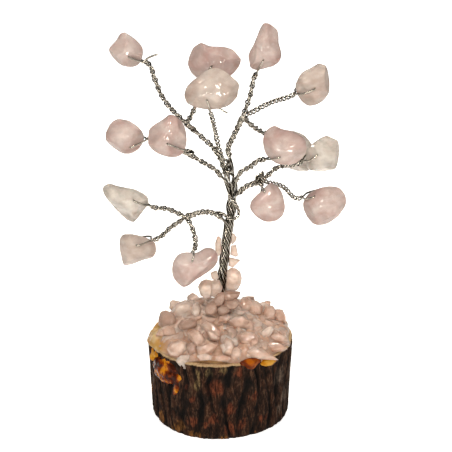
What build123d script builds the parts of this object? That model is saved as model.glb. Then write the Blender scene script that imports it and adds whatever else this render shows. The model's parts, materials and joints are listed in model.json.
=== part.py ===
from build123d import *
from math import atan2, ceil, cos, hypot, pi, radians, sin, sqrt, tan
import os

# Gemstone tree: a slice of log with its bark, a bed of rose quartz chips in clear glue,
# and a tree of twisted wire whose boughs and twigs bend by hand. Each twig ends in a
# loop through a drilled, tumbled stone. Millimetres, +Z up, the log stands on Z = 0,
# the origin is the centre of the log's sawn foot and the front is towards -Y.

# Log slice
log_diameter = 50.0
log_foot_diameter = 48.0
log_height = 28.0
bark_thickness = 3.0
furrow_depth = 0.9
furrow_count = 30
log_wander = 0.7

# Tree as a whole: the places of stones and forks are shares of these, with heights counted
# from the log's top
tree_height = 136.0
crown_half_width = 40.0
crown_half_depth = 10.0

# Wire
wire_diameter = 0.5
strand_diameter = 0.85
bough_diameter = 1.45
twig_diameter = 1.2
fork_knot_diameter = 2.1
strand_coil_radius = 0.98
strand_pitch = 20.0
strand_station_turn = 36.0
trunk_hole_depth = 8.0
trunk_hole_clearance = 0.15
least_core_bend = 0.5

# Joints in the wire, and the loops through the stones
bend_gap = 0.3
fork_stub_length = 2.3
twig_neck_length = 1.5
stone_hole_clearance = 0.09
loop_clearance = 0.38
loop_bend_radius = 0.5
twist_gap = 1.3
loop_anchor_length = 0.45
loop_leg_inset = 0.03
swing_allowance = 12.0

# Glue bed, glue drips and chips
glue_rim_inset = 1.5
glue_rim_height = 1.6
glue_slope_height = 5.0
glue_shoulder_height = 8.2
glue_top_height = 9.6
glue_slope_share = 0.66
glue_shoulder_share = 0.4
glue_top_share = 0.2
foot_chip_gap = 0.25
chip_gap = 0.2
overrun = 1.0
unit = 1

os.makedirs("parts", exist_ok=True)


def save(shape, name):
    export_step(shape, f"parts/{name}.step")


def height_at(z_share):
    # shares of height are counted from the log's top to the top of the tree
    return log_height + (tree_height - log_height) * z_share


def crown_place(shares):
    x_share, y_share, z_share = shares
    return Vector(crown_half_width * x_share, crown_half_depth * y_share, height_at(z_share))


# Faceted solids

def polygon_face(points):
    return Face(Wire.make_polygon(points, close=True))


def faceted(rings, twisted=False):
    # closed solid through rings of points, each ring with as many points. Between rings
    # that are twisted, four points are not in one plane and make two triangles
    faces = [polygon_face(rings[0]), polygon_face(rings[-1])]
    for low, high in zip(rings, rings[1:]):
        for i in range(len(low)):
            j = (i + 1) % len(low)
            if twisted:
                faces.append(polygon_face([low[i], low[j], high[j]]))
                faces.append(polygon_face([low[i], high[j], high[i]]))
            else:
                faces.append(polygon_face([low[i], low[j], high[j], high[i]]))
    return Solid(Shell(faces))


def level_ring(outline, scale, z):
    return [Vector(x * scale, y * scale, z) for x, y in outline]


# Wire tubes: straight runs joined by tangent arcs

arc_run_share = 0.45
largest_bend = 30.0


def bend_radii(points, largest):
    radii = []
    for before, corner, after in zip(points, points[1:], points[2:]):
        incoming, outgoing = corner - before, after - corner
        half_turn = radians(incoming.get_angle(outgoing)) / 2
        shorter = min(incoming.length, outgoing.length)
        radii.append(min(arc_run_share * shorter / tan(half_turn), largest))
    return radii


def tube(points, diameter, largest=largest_bend):
    if len(points) == 2:
        path = Wire([Edge.make_line(points[0], points[1])])
    else:
        line = FilletPolyline(*points, radius=bend_radii(points, largest))
        path = Wire(line.edges())
    start = Plane(origin=points[0], z_dir=points[1] - points[0])
    section = Wire([Edge.make_circle(diameter / 2, start)])
    return Solid.sweep(section, path)


def towards(start, end, distance):
    return start + (end - start).normalized() * distance


# Log: round outlines, slightly out of true. The bark's furrows sway from side to side and
# run shallow and deep as they climb, so its outline is worked out at several levels

wander_turns = (2, 3, 5)
wander_shares = (0.5, 0.3, 0.2)
wander_phases = (40.0, 155.0, 250.0)
furrow_shape_shares = ((0.0, 1.0), (0.24, 0.1), (0.76, 0.0))
bark_level_shares = (0.0, 0.22, 0.48, 0.74, 1.0)
furrow_shift_share = 0.34
furrow_shift_turns = 7
furrow_shift_climb = 290.0
furrow_swing_share = 0.5
furrow_swing_turns = 11
furrow_swing_climb = 410.0
wood_sides = 36


def wander(angle):
    waves = zip(wander_turns, wander_shares, wander_phases)
    return log_wander * sum(share * sin(radians(turns * angle + phase)) for turns, share, phase in waves)


def wood_outline():
    angles = [360 * i / wood_sides for i in range(wood_sides)]
    radius = log_diameter / 2 - bark_thickness
    return [((radius + wander(a)) * cos(radians(a)), (radius + wander(a)) * sin(radians(a))) for a in angles]


def bark_outline(level_share):
    # each plate of bark has a broad crest between two furrows
    points = []
    for i in range(furrow_count):
        for place_share, depth_share in furrow_shape_shares:
            angle = 360 * (i + place_share) / furrow_count
            shift = sin(radians(furrow_shift_turns * angle + furrow_shift_climb * level_share))
            swing = sin(radians(furrow_swing_turns * angle - furrow_swing_climb * level_share))
            angle += furrow_shift_share * shift * 360 / furrow_count
            depth = furrow_depth * depth_share * (unit + furrow_swing_share * swing)
            radius = log_diameter / 2 + wander(angle) - depth
            points.append((radius * cos(radians(angle)), radius * sin(radians(angle))))
    return points


foot_scale = log_foot_diameter / log_diameter
glue_bed_radius = log_diameter / 2 - bark_thickness - glue_rim_inset
trunk_radius = strand_coil_radius + strand_diameter / 2
trunk_hole_radius = trunk_radius + trunk_hole_clearance
hole_sides = 24


def hole_ring(z):
    # flats of the hole clear the trunk, so its corners stand further out
    radius = trunk_hole_radius / cos(pi / hole_sides)
    angles = [2 * pi * i / hole_sides for i in range(hole_sides)]
    return [Vector(radius * cos(a), radius * sin(a), z) for a in angles]


wood_body = faceted([level_ring(wood_outline(), foot_scale, 0), level_ring(wood_outline(), unit, log_height)])
trunk_hole = faceted([hole_ring(log_height - trunk_hole_depth), hole_ring(log_height + overrun)])
save(wood_body - trunk_hole, "log_wood")

bark_rings = []
for share in bark_level_shares:
    scale = foot_scale + (unit - foot_scale) * share
    bark_rings.append(level_ring(bark_outline(share), scale, log_height * share))
bark_body = faceted(bark_rings, twisted=True)
save(bark_body - wood_body, "log_bark")

# Glue bed: a low faceted dome on the sawn top, open around the trunk

glue_levels = (
    (unit, 0),
    (unit, glue_rim_height),
    (glue_slope_share, glue_slope_height),
    (glue_shoulder_share, glue_shoulder_height),
    (glue_top_share, glue_top_height),
)


def glue_ring(share, rise):
    radius = share * glue_bed_radius
    angles = [2 * pi * i / hole_sides for i in range(hole_sides)]
    return [Vector(radius * cos(a), radius * sin(a), log_height + rise) for a in angles]


glue_dome = faceted([glue_ring(share, rise) for share, rise in glue_levels])
glue_hole = faceted([hole_ring(log_height - overrun), hole_ring(log_height + glue_top_height + overrun)])
save(glue_dome - glue_hole, "glue_bed")

# Quartz chips: small convex flakes with six sides, in rings that fill the glue bed

flake_outline_shares = (
    ((1.0, 0.1), (0.42, 0.92), (-0.5, 0.86), (-1.0, 0.0), (-0.5, -0.9), (0.55, -0.84)),
    ((1.0, -0.2), (0.62, 0.72), (-0.3, 1.0), (-1.0, 0.3), (-0.72, -0.7), (0.2, -1.0)),
    ((0.94, 0.36), (0.1, 1.0), (-0.8, 0.62), (-1.0, -0.28), (-0.15, -1.0), (0.8, -0.6)),
)
flake_level_shares = ((0.62, 0.0), (1.0, 0.42), (0.9, 0.68), (0.5, 1.0))


def flake(plane, length, width, thickness, kind):
    # plane is the underside's middle, with local x along the flake and z out of it
    outline = flake_outline_shares[kind % len(flake_outline_shares)]
    rings = []
    for scale, rise in flake_level_shares:
        ring = [Vector(x * scale * length / 2, y * scale * width / 2, rise * thickness) for x, y in outline]
        rings.append([plane.from_local_coords(point) for point in ring])
    return faceted(rings)


class ChipRing:
    def __init__(self, radius_share, length_share, rise, width, thickness, tilt, first_angle):
        self.radius = glue_bed_radius * radius_share
        self.length = glue_bed_radius * length_share
        self.rise = rise
        self.count = int(2 * pi * self.radius / (width + chip_gap))
        self.width = width
        self.thickness = thickness
        self.tilt = tilt
        self.first_angle = first_angle


chip_rings = {
    "chips_outer_ring": ChipRing(
        radius_share=0.942, length_share=0.458, rise=1.1, width=7.3, thickness=3.5, tilt=6.0, first_angle=4.0),
    "chips_middle_ring": ChipRing(
        radius_share=0.654, length_share=0.41, rise=4.8, width=7.3, thickness=3.5, tilt=12.0, first_angle=12.0),
    "chips_inner_ring": ChipRing(
        radius_share=0.386, length_share=0.341, rise=7.7, width=6.0, thickness=3.6, tilt=15.0, first_angle=20.0),
}
chip_length_shares = (1.0, 0.88, 0.95, 0.84)
chip_height_shares = (1.0, 0.8, 1.06, 0.9, 0.84)
chip_tilt_swings = (0.0, 2.5, -2.0, 1.5, -3.0)
chip_twist_swings = (3.0, -5.0, 6.0, -2.0)

for node, ring in chip_rings.items():
    chips = []
    for i in range(ring.count):
        angle = ring.first_angle + 360 * i / ring.count
        outward = Vector(cos(radians(angle)), sin(radians(angle)), 0)
        across = Vector(0, 0, unit).cross(outward)
        tilt = ring.tilt + chip_tilt_swings[i % len(chip_tilt_swings)]
        twist = chip_twist_swings[i % len(chip_twist_swings)]
        along = outward.rotate(Axis((0, 0, 0), across), tilt)
        normal = along.cross(across).rotate(Axis((0, 0, 0), along), twist)
        foot = outward * ring.radius + Vector(0, 0, log_height + ring.rise)
        plane = Plane(origin=foot, x_dir=along, z_dir=normal)
        length = ring.length * chip_length_shares[i % len(chip_length_shares)]
        thickness = ring.thickness * chip_height_shares[i % len(chip_height_shares)]
        chips.append(flake(plane, length, ring.width, thickness, i))
    save(Compound(children=chips), node)

# Trunk line: upright out of the log, then leaning to the right as it climbs

trunk_line_shares = ((0.0, 0.1185), (0.012, 0.2067), (0.052, 0.3767), (0.1, 0.4648), (0.105, 0.4963))


def trunk_centre(z):
    share = (z - log_height) / (tree_height - log_height)
    x_share = trunk_line_shares[0][0]
    for (x_low, low), (x_high, high) in zip(trunk_line_shares, trunk_line_shares[1:]):
        if share > low:
            x_share = x_low + (x_high - x_low) * min(unit, (share - low) / (high - low))
    return Vector(crown_half_width * x_share, 0, z)


# Trunk foot: chips that climb the wire. Each has its bearing round the trunk (0 is right,
# 270 is front), its rise over the top of the glue, its size and its kind

class FootChip:
    def __init__(self, bearing, rise, length, width, thickness, lean, kind):
        self.bearing = bearing
        self.rise = rise
        self.length = length
        self.width = width
        self.thickness = thickness
        self.lean = lean
        self.kind = kind


foot_chips = {
    "low_front": FootChip(
        bearing=262, rise=1.98, length=3.2, width=4.4, thickness=2.3, lean=0, kind=1),
    "low_right": FootChip(
        bearing=22, rise=1.98, length=3.2, width=4.4, thickness=2.3, lean=0, kind=0),
    "low_back": FootChip(
        bearing=142, rise=1.98, length=3.2, width=4.4, thickness=2.3, lean=0, kind=2),
    "big_left": FootChip(
        bearing=208, rise=7.82, length=7.8, width=7.2, thickness=3.8, lean=12, kind=0),
    "big_right": FootChip(
        bearing=325, rise=8.37, length=8.4, width=6.4, thickness=4.0, lean=6, kind=2),
    "big_back": FootChip(
        bearing=88, rise=7.55, length=7.6, width=6.8, thickness=3.6, lean=10, kind=1),
    "upper_left": FootChip(
        bearing=207, rise=14.83, length=4.4, width=3.4, thickness=1.9, lean=0, kind=2),
    "upper_back": FootChip(
        bearing=100, rise=15.17, length=5.2, width=4.2, thickness=2.6, lean=5, kind=0),
    "upper_right": FootChip(
        bearing=2, rise=15.71, length=4.6, width=4.0, thickness=3.6, lean=4, kind=1),
    "pointed_right": FootChip(
        bearing=350, rise=20.06, length=3.6, width=2.6, thickness=2.4, lean=5, kind=2),
    "pointed_back": FootChip(
        bearing=95, rise=20.61, length=4.0, width=3.0, thickness=2.0, lean=4, kind=0),
    "thin_left": FootChip(
        bearing=180, rise=22.24, length=4.8, width=2.4, thickness=1.4, lean=0, kind=0),
    "top_right": FootChip(
        bearing=8, rise=24.21, length=3.2, width=2.4, thickness=1.6, lean=0, kind=1),
}
chips = []
for chip in foot_chips.values():
    centre = trunk_centre(log_height + glue_top_height + chip.rise)
    outward = Vector(cos(radians(chip.bearing)), sin(radians(chip.bearing)), 0)
    up = Vector(0, 0, unit)
    lean = radians(chip.lean)
    along = up * cos(lean) + outward * sin(lean)
    normal = outward * cos(lean) - up * sin(lean)
    stand_off = trunk_radius + foot_chip_gap + chip.length / 2 * sin(lean)
    plane = Plane(origin=centre + outward * stand_off, x_dir=along, z_dir=normal)
    chips.append(flake(plane, chip.length, chip.width, chip.thickness, chip.kind))
save(Compound(children=chips), "chips_trunk_foot")

# Tumbled stones and glue drips: smooth lofts of one outline through the thickness.
# fullness 2 would be an ellipsoid, more is blunter

fullness = 2.4
loft_level_shares = (-0.985, -0.88, -0.55, 0.0, 0.55, 0.88, 0.985)


def level_scale(level_share):
    return (unit - abs(level_share) ** fullness) ** (unit / fullness)


def pebble(plane, outline_shares, width, height, thickness):
    sections = []
    for level in loft_level_shares:
        scale = level_scale(level)
        points = []
        for u, v in outline_shares:
            local = Vector(u * scale * width / 2, v * scale * height / 2, level * thickness / 2)
            points.append(plane.from_local_coords(local))
        sections.append(Wire([Edge.make_spline(points, periodic=True)]))
    return Solid.make_loft(sections)


class GlueDrip:
    def __init__(self, bearing, height_share, width, height, thickness, outline_shares):
        self.bearing = bearing
        self.height_share = height_share
        self.width = width
        self.height = height
        self.thickness = thickness
        self.outline_shares = outline_shares


glue_drips = {
    "amber_glue_left_drip": GlueDrip(
        bearing=231, height_share=0.76, width=10.4, height=13.0, thickness=4.6,
        outline_shares=((-0.5, 1.0), (0.2, 0.8), (0.6, 0.35), (1.0, -0.15), (0.55, -0.45),
                        (0.3, -1.0), (0.0, -0.6), (-0.55, -0.5), (-0.95, 0.2))),
    "amber_glue_left_bead": GlueDrip(
        bearing=212, height_share=0.87, width=3.2, height=3.4, thickness=3.2,
        outline_shares=((0.0, 1.0), (0.8, 0.6), (1.0, -0.3), (0.3, -1.0), (-0.7, -0.7), (-1.0, 0.2))),
    "amber_glue_right_drip": GlueDrip(
        bearing=297, height_share=0.93, width=7.4, height=4.6, thickness=3.6,
        outline_shares=((-0.2, 1.0), (0.6, 0.7), (1.0, 0.0), (0.5, -0.6), (0.1, -1.0), (-0.5, -0.4), (-1.0, 0.1))),
    "amber_glue_right_bead": GlueDrip(
        bearing=315, height_share=0.975, width=4.6, height=3.0, thickness=2.8,
        outline_shares=((0.0, 1.0), (0.9, 0.6), (1.0, -0.4), (0.1, -1.0), (-0.9, -0.5), (-0.9, 0.6))),
}
drip_sink_share = 0.2

for node, drip in glue_drips.items():
    z = log_height * drip.height_share
    scale = foot_scale + (unit - foot_scale) * drip.height_share
    outward = Vector(cos(radians(drip.bearing)), sin(radians(drip.bearing)), 0)
    bark_radius = (log_diameter / 2 + wander(drip.bearing) - furrow_depth / 2) * scale
    middle = outward * (bark_radius + drip_sink_share * drip.thickness / 2) + Vector(0, 0, z)
    side = Vector(0, 0, unit).cross(outward)
    plane = Plane(origin=middle, x_dir=side, z_dir=outward)
    save(pebble(plane, drip.outline_shares, drip.width, drip.height, drip.thickness), node)


# Stones of the crown. place_share is the middle, turn and tip are degrees out of the
# front plane, hole_share is the drilled hole's place on the face, wire_bearing is the
# way the loop leaves over the rim (0 is right, 90 is up), bough is what carries the twig
# and via_shares are the twig's bends on its way to the bough

class Stone:
    def __init__(self, width, height, thickness, place_share, turn, tip, hole_share, wire_bearing,
                 bough, via_shares, outline_shares):
        self.width = width
        self.height = height
        self.thickness = thickness
        self.bough = bough
        self.vias = [crown_place(shares) for shares in via_shares]
        self.outline_shares = outline_shares
        right = Vector(unit, 0, 0).rotate(Axis.Z, turn)
        face = Vector(0, -unit, 0).rotate(Axis.Z, turn).rotate(Axis((0, 0, 0), right), tip)
        self.plane = Plane(origin=crown_place(place_share), x_dir=right, z_dir=face)
        self.hole = (hole_share[0] * width / 2, hole_share[1] * height / 2)
        self.wire_bearing = wire_bearing

    def rim_radius(self, bearing):
        # distance from the middle to the outline, on the outline's own spline
        best = None
        for (u0, v0), (u1, v1) in zip(self.rim, self.rim[1:] + self.rim[:1]):
            du, dv = u1 - u0, v1 - v0
            cross = cos(bearing) * dv - sin(bearing) * du
            if cross != 0:
                along = (u0 * dv - v0 * du) / cross
                part = (u0 * sin(bearing) - v0 * cos(bearing)) / cross
                if along > 0 and 0 <= part <= unit:
                    best = along if best is None else max(best, along)
        return best

    def trace_rim(self):
        points = [Vector(u * self.width / 2, v * self.height / 2) for u, v in self.outline_shares]
        spline = Edge.make_spline(points, periodic=True)
        samples = [spline.position_at(i / rim_samples) for i in range(rim_samples)]
        self.rim = [(p.X, p.Y) for p in samples]

    def half_thickness(self, u, v):
        distance = hypot(u, v)
        share = distance / self.rim_radius(atan2(v, u)) if distance > 0 else 0
        if share >= unit:
            return 0
        return self.thickness / 2 * (unit - share ** fullness) ** (unit / fullness)

    def height_towards(self, reach, swing):
        # stone's half thickness at a reach from the hole, for a swing off the wire's bearing
        bearing = radians(self.wire_bearing + swing)
        return self.half_thickness(self.hole[0] + reach * cos(bearing), self.hole[1] + reach * sin(bearing))


rim_samples = 90
profile_samples = 60

stones = {
    "top_left": Stone(
        width=11.0, height=11.4, thickness=7.4, place_share=(-0.755, 0.4, 0.9106), turn=10, tip=6,
        hole_share=(0.13, -0.28), wire_bearing=-27, bough="crown_left",
        via_shares=((-0.525, 0.4, 0.8199), (-0.465, 0.35, 0.767), (-0.368, 0.3, 0.7217)),
        outline_shares=((0.0, 1.0), (0.5, 0.58), (0.97, 0.08), (0.97, -0.45), (0.72, -0.9),
                        (0.0, -1.0), (-0.6, -0.72), (-1.0, -0.1), (-0.52, 0.5))),
    "top_back": Stone(
        width=17.6, height=12.6, thickness=8.6, place_share=(-0.042, 0.95, 0.869), turn=-8, tip=-6,
        hole_share=(-0.05, -0.25), wire_bearing=-125, bough="crown_left",
        via_shares=((-0.202, 0.6, 0.7393),),
        outline_shares=((-0.57, 1.0), (-0.08, 0.72), (0.62, 0.62), (0.98, 0.2), (0.85, -0.4),
                        (0.5, -0.85), (-0.1, -1.0), (-0.75, -0.85), (-1.0, -0.25), (-0.85, 0.6))),
    "top_front": Stone(
        width=18.2, height=12.8, thickness=8.6, place_share=(-0.062, -0.65, 0.8124), turn=6, tip=-8,
        hole_share=(-0.22, -0.5), wire_bearing=-72, bough="trunk_top",
        via_shares=((-0.035, -0.42, 0.6789),),
        outline_shares=((0.2, 1.0), (0.68, 0.58), (1.0, -0.05), (0.6, -0.8), (0.2, -1.0),
                        (-0.4, -0.95), (-0.95, -0.5), (-0.9, 0.0), (-0.55, 0.52), (-0.15, 0.9))),
    "tall_tear": Stone(
        width=10.6, height=15.6, thickness=7.2, place_share=(0.348, 0.1, 0.9232), turn=-8, tip=5,
        hole_share=(0.02, -0.46), wire_bearing=-116, bough="crown_right",
        via_shares=((0.242, 0.18, 0.7759),),
        outline_shares=((0.28, 1.0), (0.75, 0.72), (0.86, 0.2), (1.0, -0.5), (0.6, -0.8),
                        (0.0, -0.93), (-0.6, -1.0), (-1.0, -0.58), (-0.65, 0.05), (-0.2, 0.75))),
    "upper_right": Stone(
        width=11.2, height=13.5, thickness=7.6, place_share=(0.735, -0.3, 0.8199), turn=14, tip=4,
        hole_share=(-0.12, -0.08), wire_bearing=-155, bough="crown_right",
        via_shares=((0.412, -0.22, 0.7633),),
        outline_shares=((0.6, 1.0), (0.95, 0.45), (0.98, -0.3), (0.6, -0.8), (-0.35, -1.0),
                        (-0.8, -0.6), (-1.0, -0.05), (-0.7, 0.55), (0.0, 0.78))),
    "middle_left": Stone(
        width=13.3, height=11.4, thickness=8.0, place_share=(-0.79, 0.45, 0.6449), turn=-8, tip=6,
        hole_share=(0.38, -0.42), wire_bearing=18, bough="middle_left",
        via_shares=((-0.45, 0.3, 0.6323),),
        outline_shares=((-0.35, 1.0), (0.42, 0.85), (0.98, 0.25), (0.85, -0.5), (0.3, -1.0),
                        (-0.5, -0.8), (-0.95, -0.3), (-0.85, 0.4))),
    "middle_left_inner": Stone(
        width=13.2, height=13.6, thickness=8.0, place_share=(-0.43, -0.65, 0.6739), turn=9, tip=-6,
        hole_share=(0.0, -0.32), wire_bearing=-25, bough="middle_left",
        via_shares=((-0.23, -0.32, 0.6147),),
        outline_shares=((0.42, 1.0), (0.95, 0.45), (0.98, -0.2), (0.8, -0.9), (0.0, -1.0),
                        (-0.7, -0.65), (-1.0, -0.15), (-0.65, 0.42), (0.0, 0.82))),
    "middle_right_inner": Stone(
        width=14.2, height=12.4, thickness=7.8, place_share=(0.512, -1.0, 0.6499), turn=-6, tip=-5,
        hole_share=(-0.2, -0.5), wire_bearing=-165, bough="trunk_right",
        via_shares=((0.235, -0.5, 0.5706),),
        outline_shares=((-0.45, 1.0), (0.3, 0.72), (0.85, 0.42), (1.0, -0.1), (0.65, -0.75),
                        (0.1, -1.0), (-0.5, -0.82), (-0.9, -0.3), (-0.98, 0.35), (-0.78, 0.82))),
    "middle_right_outer": Stone(
        width=11.4, height=12.4, thickness=7.2, place_share=(0.842, -0.1, 0.6021), turn=10, tip=4,
        hole_share=(-0.5, 0.15), wire_bearing=-146, bough="lower_right",
        via_shares=((0.47, -0.04, 0.5593),),
        outline_shares=((0.62, 1.0), (0.92, 0.45), (0.98, -0.35), (0.5, -0.93), (-0.35, -1.0),
                        (-0.88, -0.75), (-1.0, 0.0), (-0.85, 0.65), (-0.3, 0.85))),
    "middle_right_back": Stone(
        width=13.2, height=15.4, thickness=7.6, place_share=(0.628, 0.95, 0.587), turn=-10, tip=4,
        hole_share=(-0.5, 0.25), wire_bearing=150, bough="crown_right",
        via_shares=((0.272, 0.45, 0.6764),),
        outline_shares=((-0.45, 1.0), (0.1, 0.88), (0.75, 0.45), (1.0, -0.2), (0.85, -0.75),
                        (0.4, -1.0), (-0.3, -0.85), (-0.95, -0.4), (-1.0, 0.2), (-0.8, 0.75))),
    "lower_right_inner": Stone(
        width=11.6, height=12.6, thickness=7.2, place_share=(0.385, -0.5, 0.461), turn=8, tip=-24,
        hole_share=(-0.2, 0.5), wire_bearing=98, bough="lower_right",
        via_shares=((0.342, 0.07, 0.5567),),
        outline_shares=((0.4, 1.0), (0.78, 0.62), (1.0, -0.1), (0.85, -0.65), (0.05, -1.0),
                        (-0.7, -0.65), (-1.0, -0.2), (-0.7, 0.32), (-0.3, 0.6), (0.08, 0.92))),
    "lower_right_heart": Stone(
        width=14.8, height=14.2, thickness=8.4, place_share=(0.875, 0.3, 0.427), turn=-10, tip=5,
        hole_share=(-0.44, 0.6), wire_bearing=-160, bough="lower_right",
        via_shares=((0.525, 0.42, 0.4862),),
        outline_shares=((0.32, 1.0), (0.85, 0.7), (1.0, 0.3), (0.72, -0.35), (0.1, -1.0),
                        (-0.6, -0.82), (-0.95, -0.25), (-0.95, 0.2), (-0.6, 0.65), (-0.15, 0.9))),
    "lower_left_clear": Stone(
        width=15.2, height=13.8, thickness=8.2, place_share=(-0.768, -0.35, 0.4573), turn=9, tip=-4,
        hole_share=(0.28, 0.2), wire_bearing=-27, bough="lower_left",
        via_shares=((-0.44, -0.24, 0.4333),),
        outline_shares=((-0.7, 1.0), (0.1, 0.68), (0.75, 0.38), (1.0, 0.0), (0.65, -0.5), (0.2, -1.0),
                        (-0.25, -0.62), (-0.62, -0.12), (-1.0, 0.55), (-0.95, 0.9))),
    "lower_left": Stone(
        width=13.8, height=12.2, thickness=8.0, place_share=(-0.702, 0.5, 0.2721), turn=-12, tip=5,
        hole_share=(0.05, 0.55), wire_bearing=12, bough="lower_left",
        via_shares=((-0.412, 0.24, 0.359),),
        outline_shares=((-0.25, 1.0), (0.4, 0.7), (0.95, 0.15), (0.85, -0.2), (0.3, -0.55),
                        (-0.2, -0.85), (-0.75, -1.0), (-0.95, -0.4), (-1.0, 0.4), (-0.8, 0.85))),
    "low_centre": Stone(
        width=15.4, height=12.2, thickness=7.8, place_share=(-0.203, -0.75, 0.2558), turn=7, tip=-6,
        hole_share=(-0.2, 0.5), wire_bearing=72, bough="lower_left",
        via_shares=((-0.225, -0.46, 0.3685),),
        outline_shares=((0.3, 1.0), (0.85, 0.98), (1.0, 0.55), (0.7, -0.1), (0.0, -0.6),
                        (-0.65, -1.0), (-0.95, -0.6), (-1.0, 0.2), (-0.8, 0.78), (-0.3, 0.92))),
}

for name, stone in stones.items():
    stone.trace_rim()
    body = pebble(stone.plane, stone.outline_shares, stone.width, stone.height, stone.thickness)
    bore_foot = stone.plane.from_local_coords(Vector(*stone.hole, -stone.thickness))
    bore_axis = Plane(origin=bore_foot, z_dir=stone.plane.z_dir)
    bore_radius = wire_diameter / 2 + stone_hole_clearance
    bore = Solid.make_cylinder(bore_radius, 2 * stone.thickness, bore_axis)
    save(body - bore, f"stone_{name}")


# Boughs: forks carry two or three twigs, and each bough rises from the end of one strand
# of the trunk. root is where it bends at the trunk, vias are its own bends

class Bough:
    def __init__(self, root_share, via_shares, fork_share):
        self.root = crown_place(root_share)
        self.vias = [crown_place(shares) for shares in via_shares]
        self.fork = crown_place(fork_share)


boughs = {
    "crown_left": Bough(
        root_share=(-0.05, 0.12, 0.6147), via_shares=((-0.13, 0.17, 0.6424),), fork_share=(-0.27, 0.3, 0.6871)),
    "crown_right": Bough(
        root_share=(0.065, 0.04, 0.6147), via_shares=((0.115, 0.03, 0.6594),), fork_share=(0.185, 0.05, 0.7148)),
    "middle_left": Bough(
        root_share=(-0.03, -0.09, 0.5498), via_shares=((-0.14, -0.04, 0.5756),), fork_share=(-0.295, 0.0, 0.6084)),
    "lower_right": Bough(
        root_share=(0.19, -0.08, 0.4938), via_shares=((0.26, 0.0, 0.5057),), fork_share=(0.345, 0.05, 0.5158)),
    "lower_left": Bough(
        root_share=(-0.04, -0.22, 0.4163), via_shares=((-0.15, -0.14, 0.4195),), fork_share=(-0.2775, -0.1, 0.4025)),
}
single_roots = {
    "trunk_top": crown_place((-0.005, -0.2, 0.6166)),
    "trunk_right": crown_place((0.172, -0.28, 0.5517)),
}


# A bend is a small gap between two wire ends, with its hinge point in the middle of it
hinges = {}
stubs = {name: [] for name in boughs}
twig_starts = {}
for name, stone in stones.items():
    if stone.bough in boughs:
        fork = boughs[stone.bough].fork
        hinge = towards(fork, stone.vias[-1], fork_stub_length)
        stubs[stone.bough].append(towards(hinge, fork, bend_gap / 2))
    else:
        hinge = single_roots[stone.bough]
    hinges[f"twig_{name}"] = hinge
    twig_starts[name] = towards(hinge, stone.vias[-1], bend_gap / 2)

for name, bough in boughs.items():
    start = towards(bough.root, bough.vias[0], bend_gap / 2)
    wire = tube([start, *bough.vias, bough.fork], bough_diameter)
    knot_start = towards(bough.fork, bough.vias[-1], fork_knot_diameter / 2)
    knot_end = bough.fork + (bough.fork - knot_start) / 2
    knot = tube([knot_start, knot_end], fork_knot_diameter)
    arms = [tube([bough.fork, end], twig_diameter) for end in stubs[name]]
    save(wire.fuse(knot, *arms), f"bough_{name}")
    hinges[f"bough_{name}"] = bough.root


# Twigs: the neck leaves the stone in line with the loop, then the twig bends down to its
# bough. The loop's two legs lie over both faces of the stone and meet in the drilled hole

def loop_profile(stone):
    # reach along the wire and height over the stone's middle plane, clear of the stone
    # for every swing of the stone about its hole
    keep_off = wire_diameter / 2 + loop_clearance
    swings = (-swing_allowance, 0, swing_allowance)
    reaches = [stone.width * i / profile_samples for i in range(profile_samples)]
    heights = [max(stone.height_towards(reach, swing) for swing in swings) for reach in reaches]
    rim = max(reach for reach, height in zip(reaches, heights) if height > 0)

    def clear_height(reach):
        best = 0
        for near, height in zip(reaches, heights):
            if abs(near - reach) < keep_off and height > 0:
                best = max(best, height + sqrt(keep_off ** 2 - (near - reach) ** 2))
        return best

    return rim, clear_height


loop_via_shares = (0.45, 0.8, 1.0)


def twig(name, stone):
    rim, clear_height = loop_profile(stone)
    bearing = radians(stone.wire_bearing)
    twist_reach = rim + twist_gap
    leg_offset = twig_diameter / 2 - wire_diameter / 2 - loop_leg_inset

    def world(reach, height):
        u = stone.hole[0] + reach * cos(bearing)
        v = stone.hole[1] + reach * sin(bearing)
        return stone.plane.from_local_coords(Vector(u, v, height))

    twist = world(twist_reach, 0)
    neck = world(twist_reach + twig_neck_length, 0)
    stem = tube([twist, neck, *stone.vias, twig_starts[name]], twig_diameter)
    legs = []
    for side in (unit, -unit):
        points = [world(0, 0), world(0, side * (clear_height(0) + loop_bend_radius / 2))]
        for share in loop_via_shares:
            points.append(world(share * rim, side * clear_height(share * rim)))
        points.append(world(twist_reach, side * leg_offset))
        points.append(world(twist_reach + loop_anchor_length, side * leg_offset))
        legs.append(tube(points, wire_diameter, loop_bend_radius))
    return stem.fuse(*legs)


for name, stone in stones.items():
    save(twig(name, stone), f"twig_{name}")
    hinges[f"stone_{name}"] = stone.plane.from_local_coords(Vector(*stone.hole, 0))


# Trunk: seven strands in one twisted bundle, six round one. Each leaves the bundle at its
# own height and goes by its bends to the root of the bough that it becomes. slot is its
# place round the bundle in degrees, and the core strand has none

class Strand:
    def __init__(self, slot, leave_share, via_shares, end):
        self.slot = slot
        self.leave = height_at(leave_share)
        self.vias = [crown_place(shares) for shares in via_shares]
        self.end = end


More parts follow.
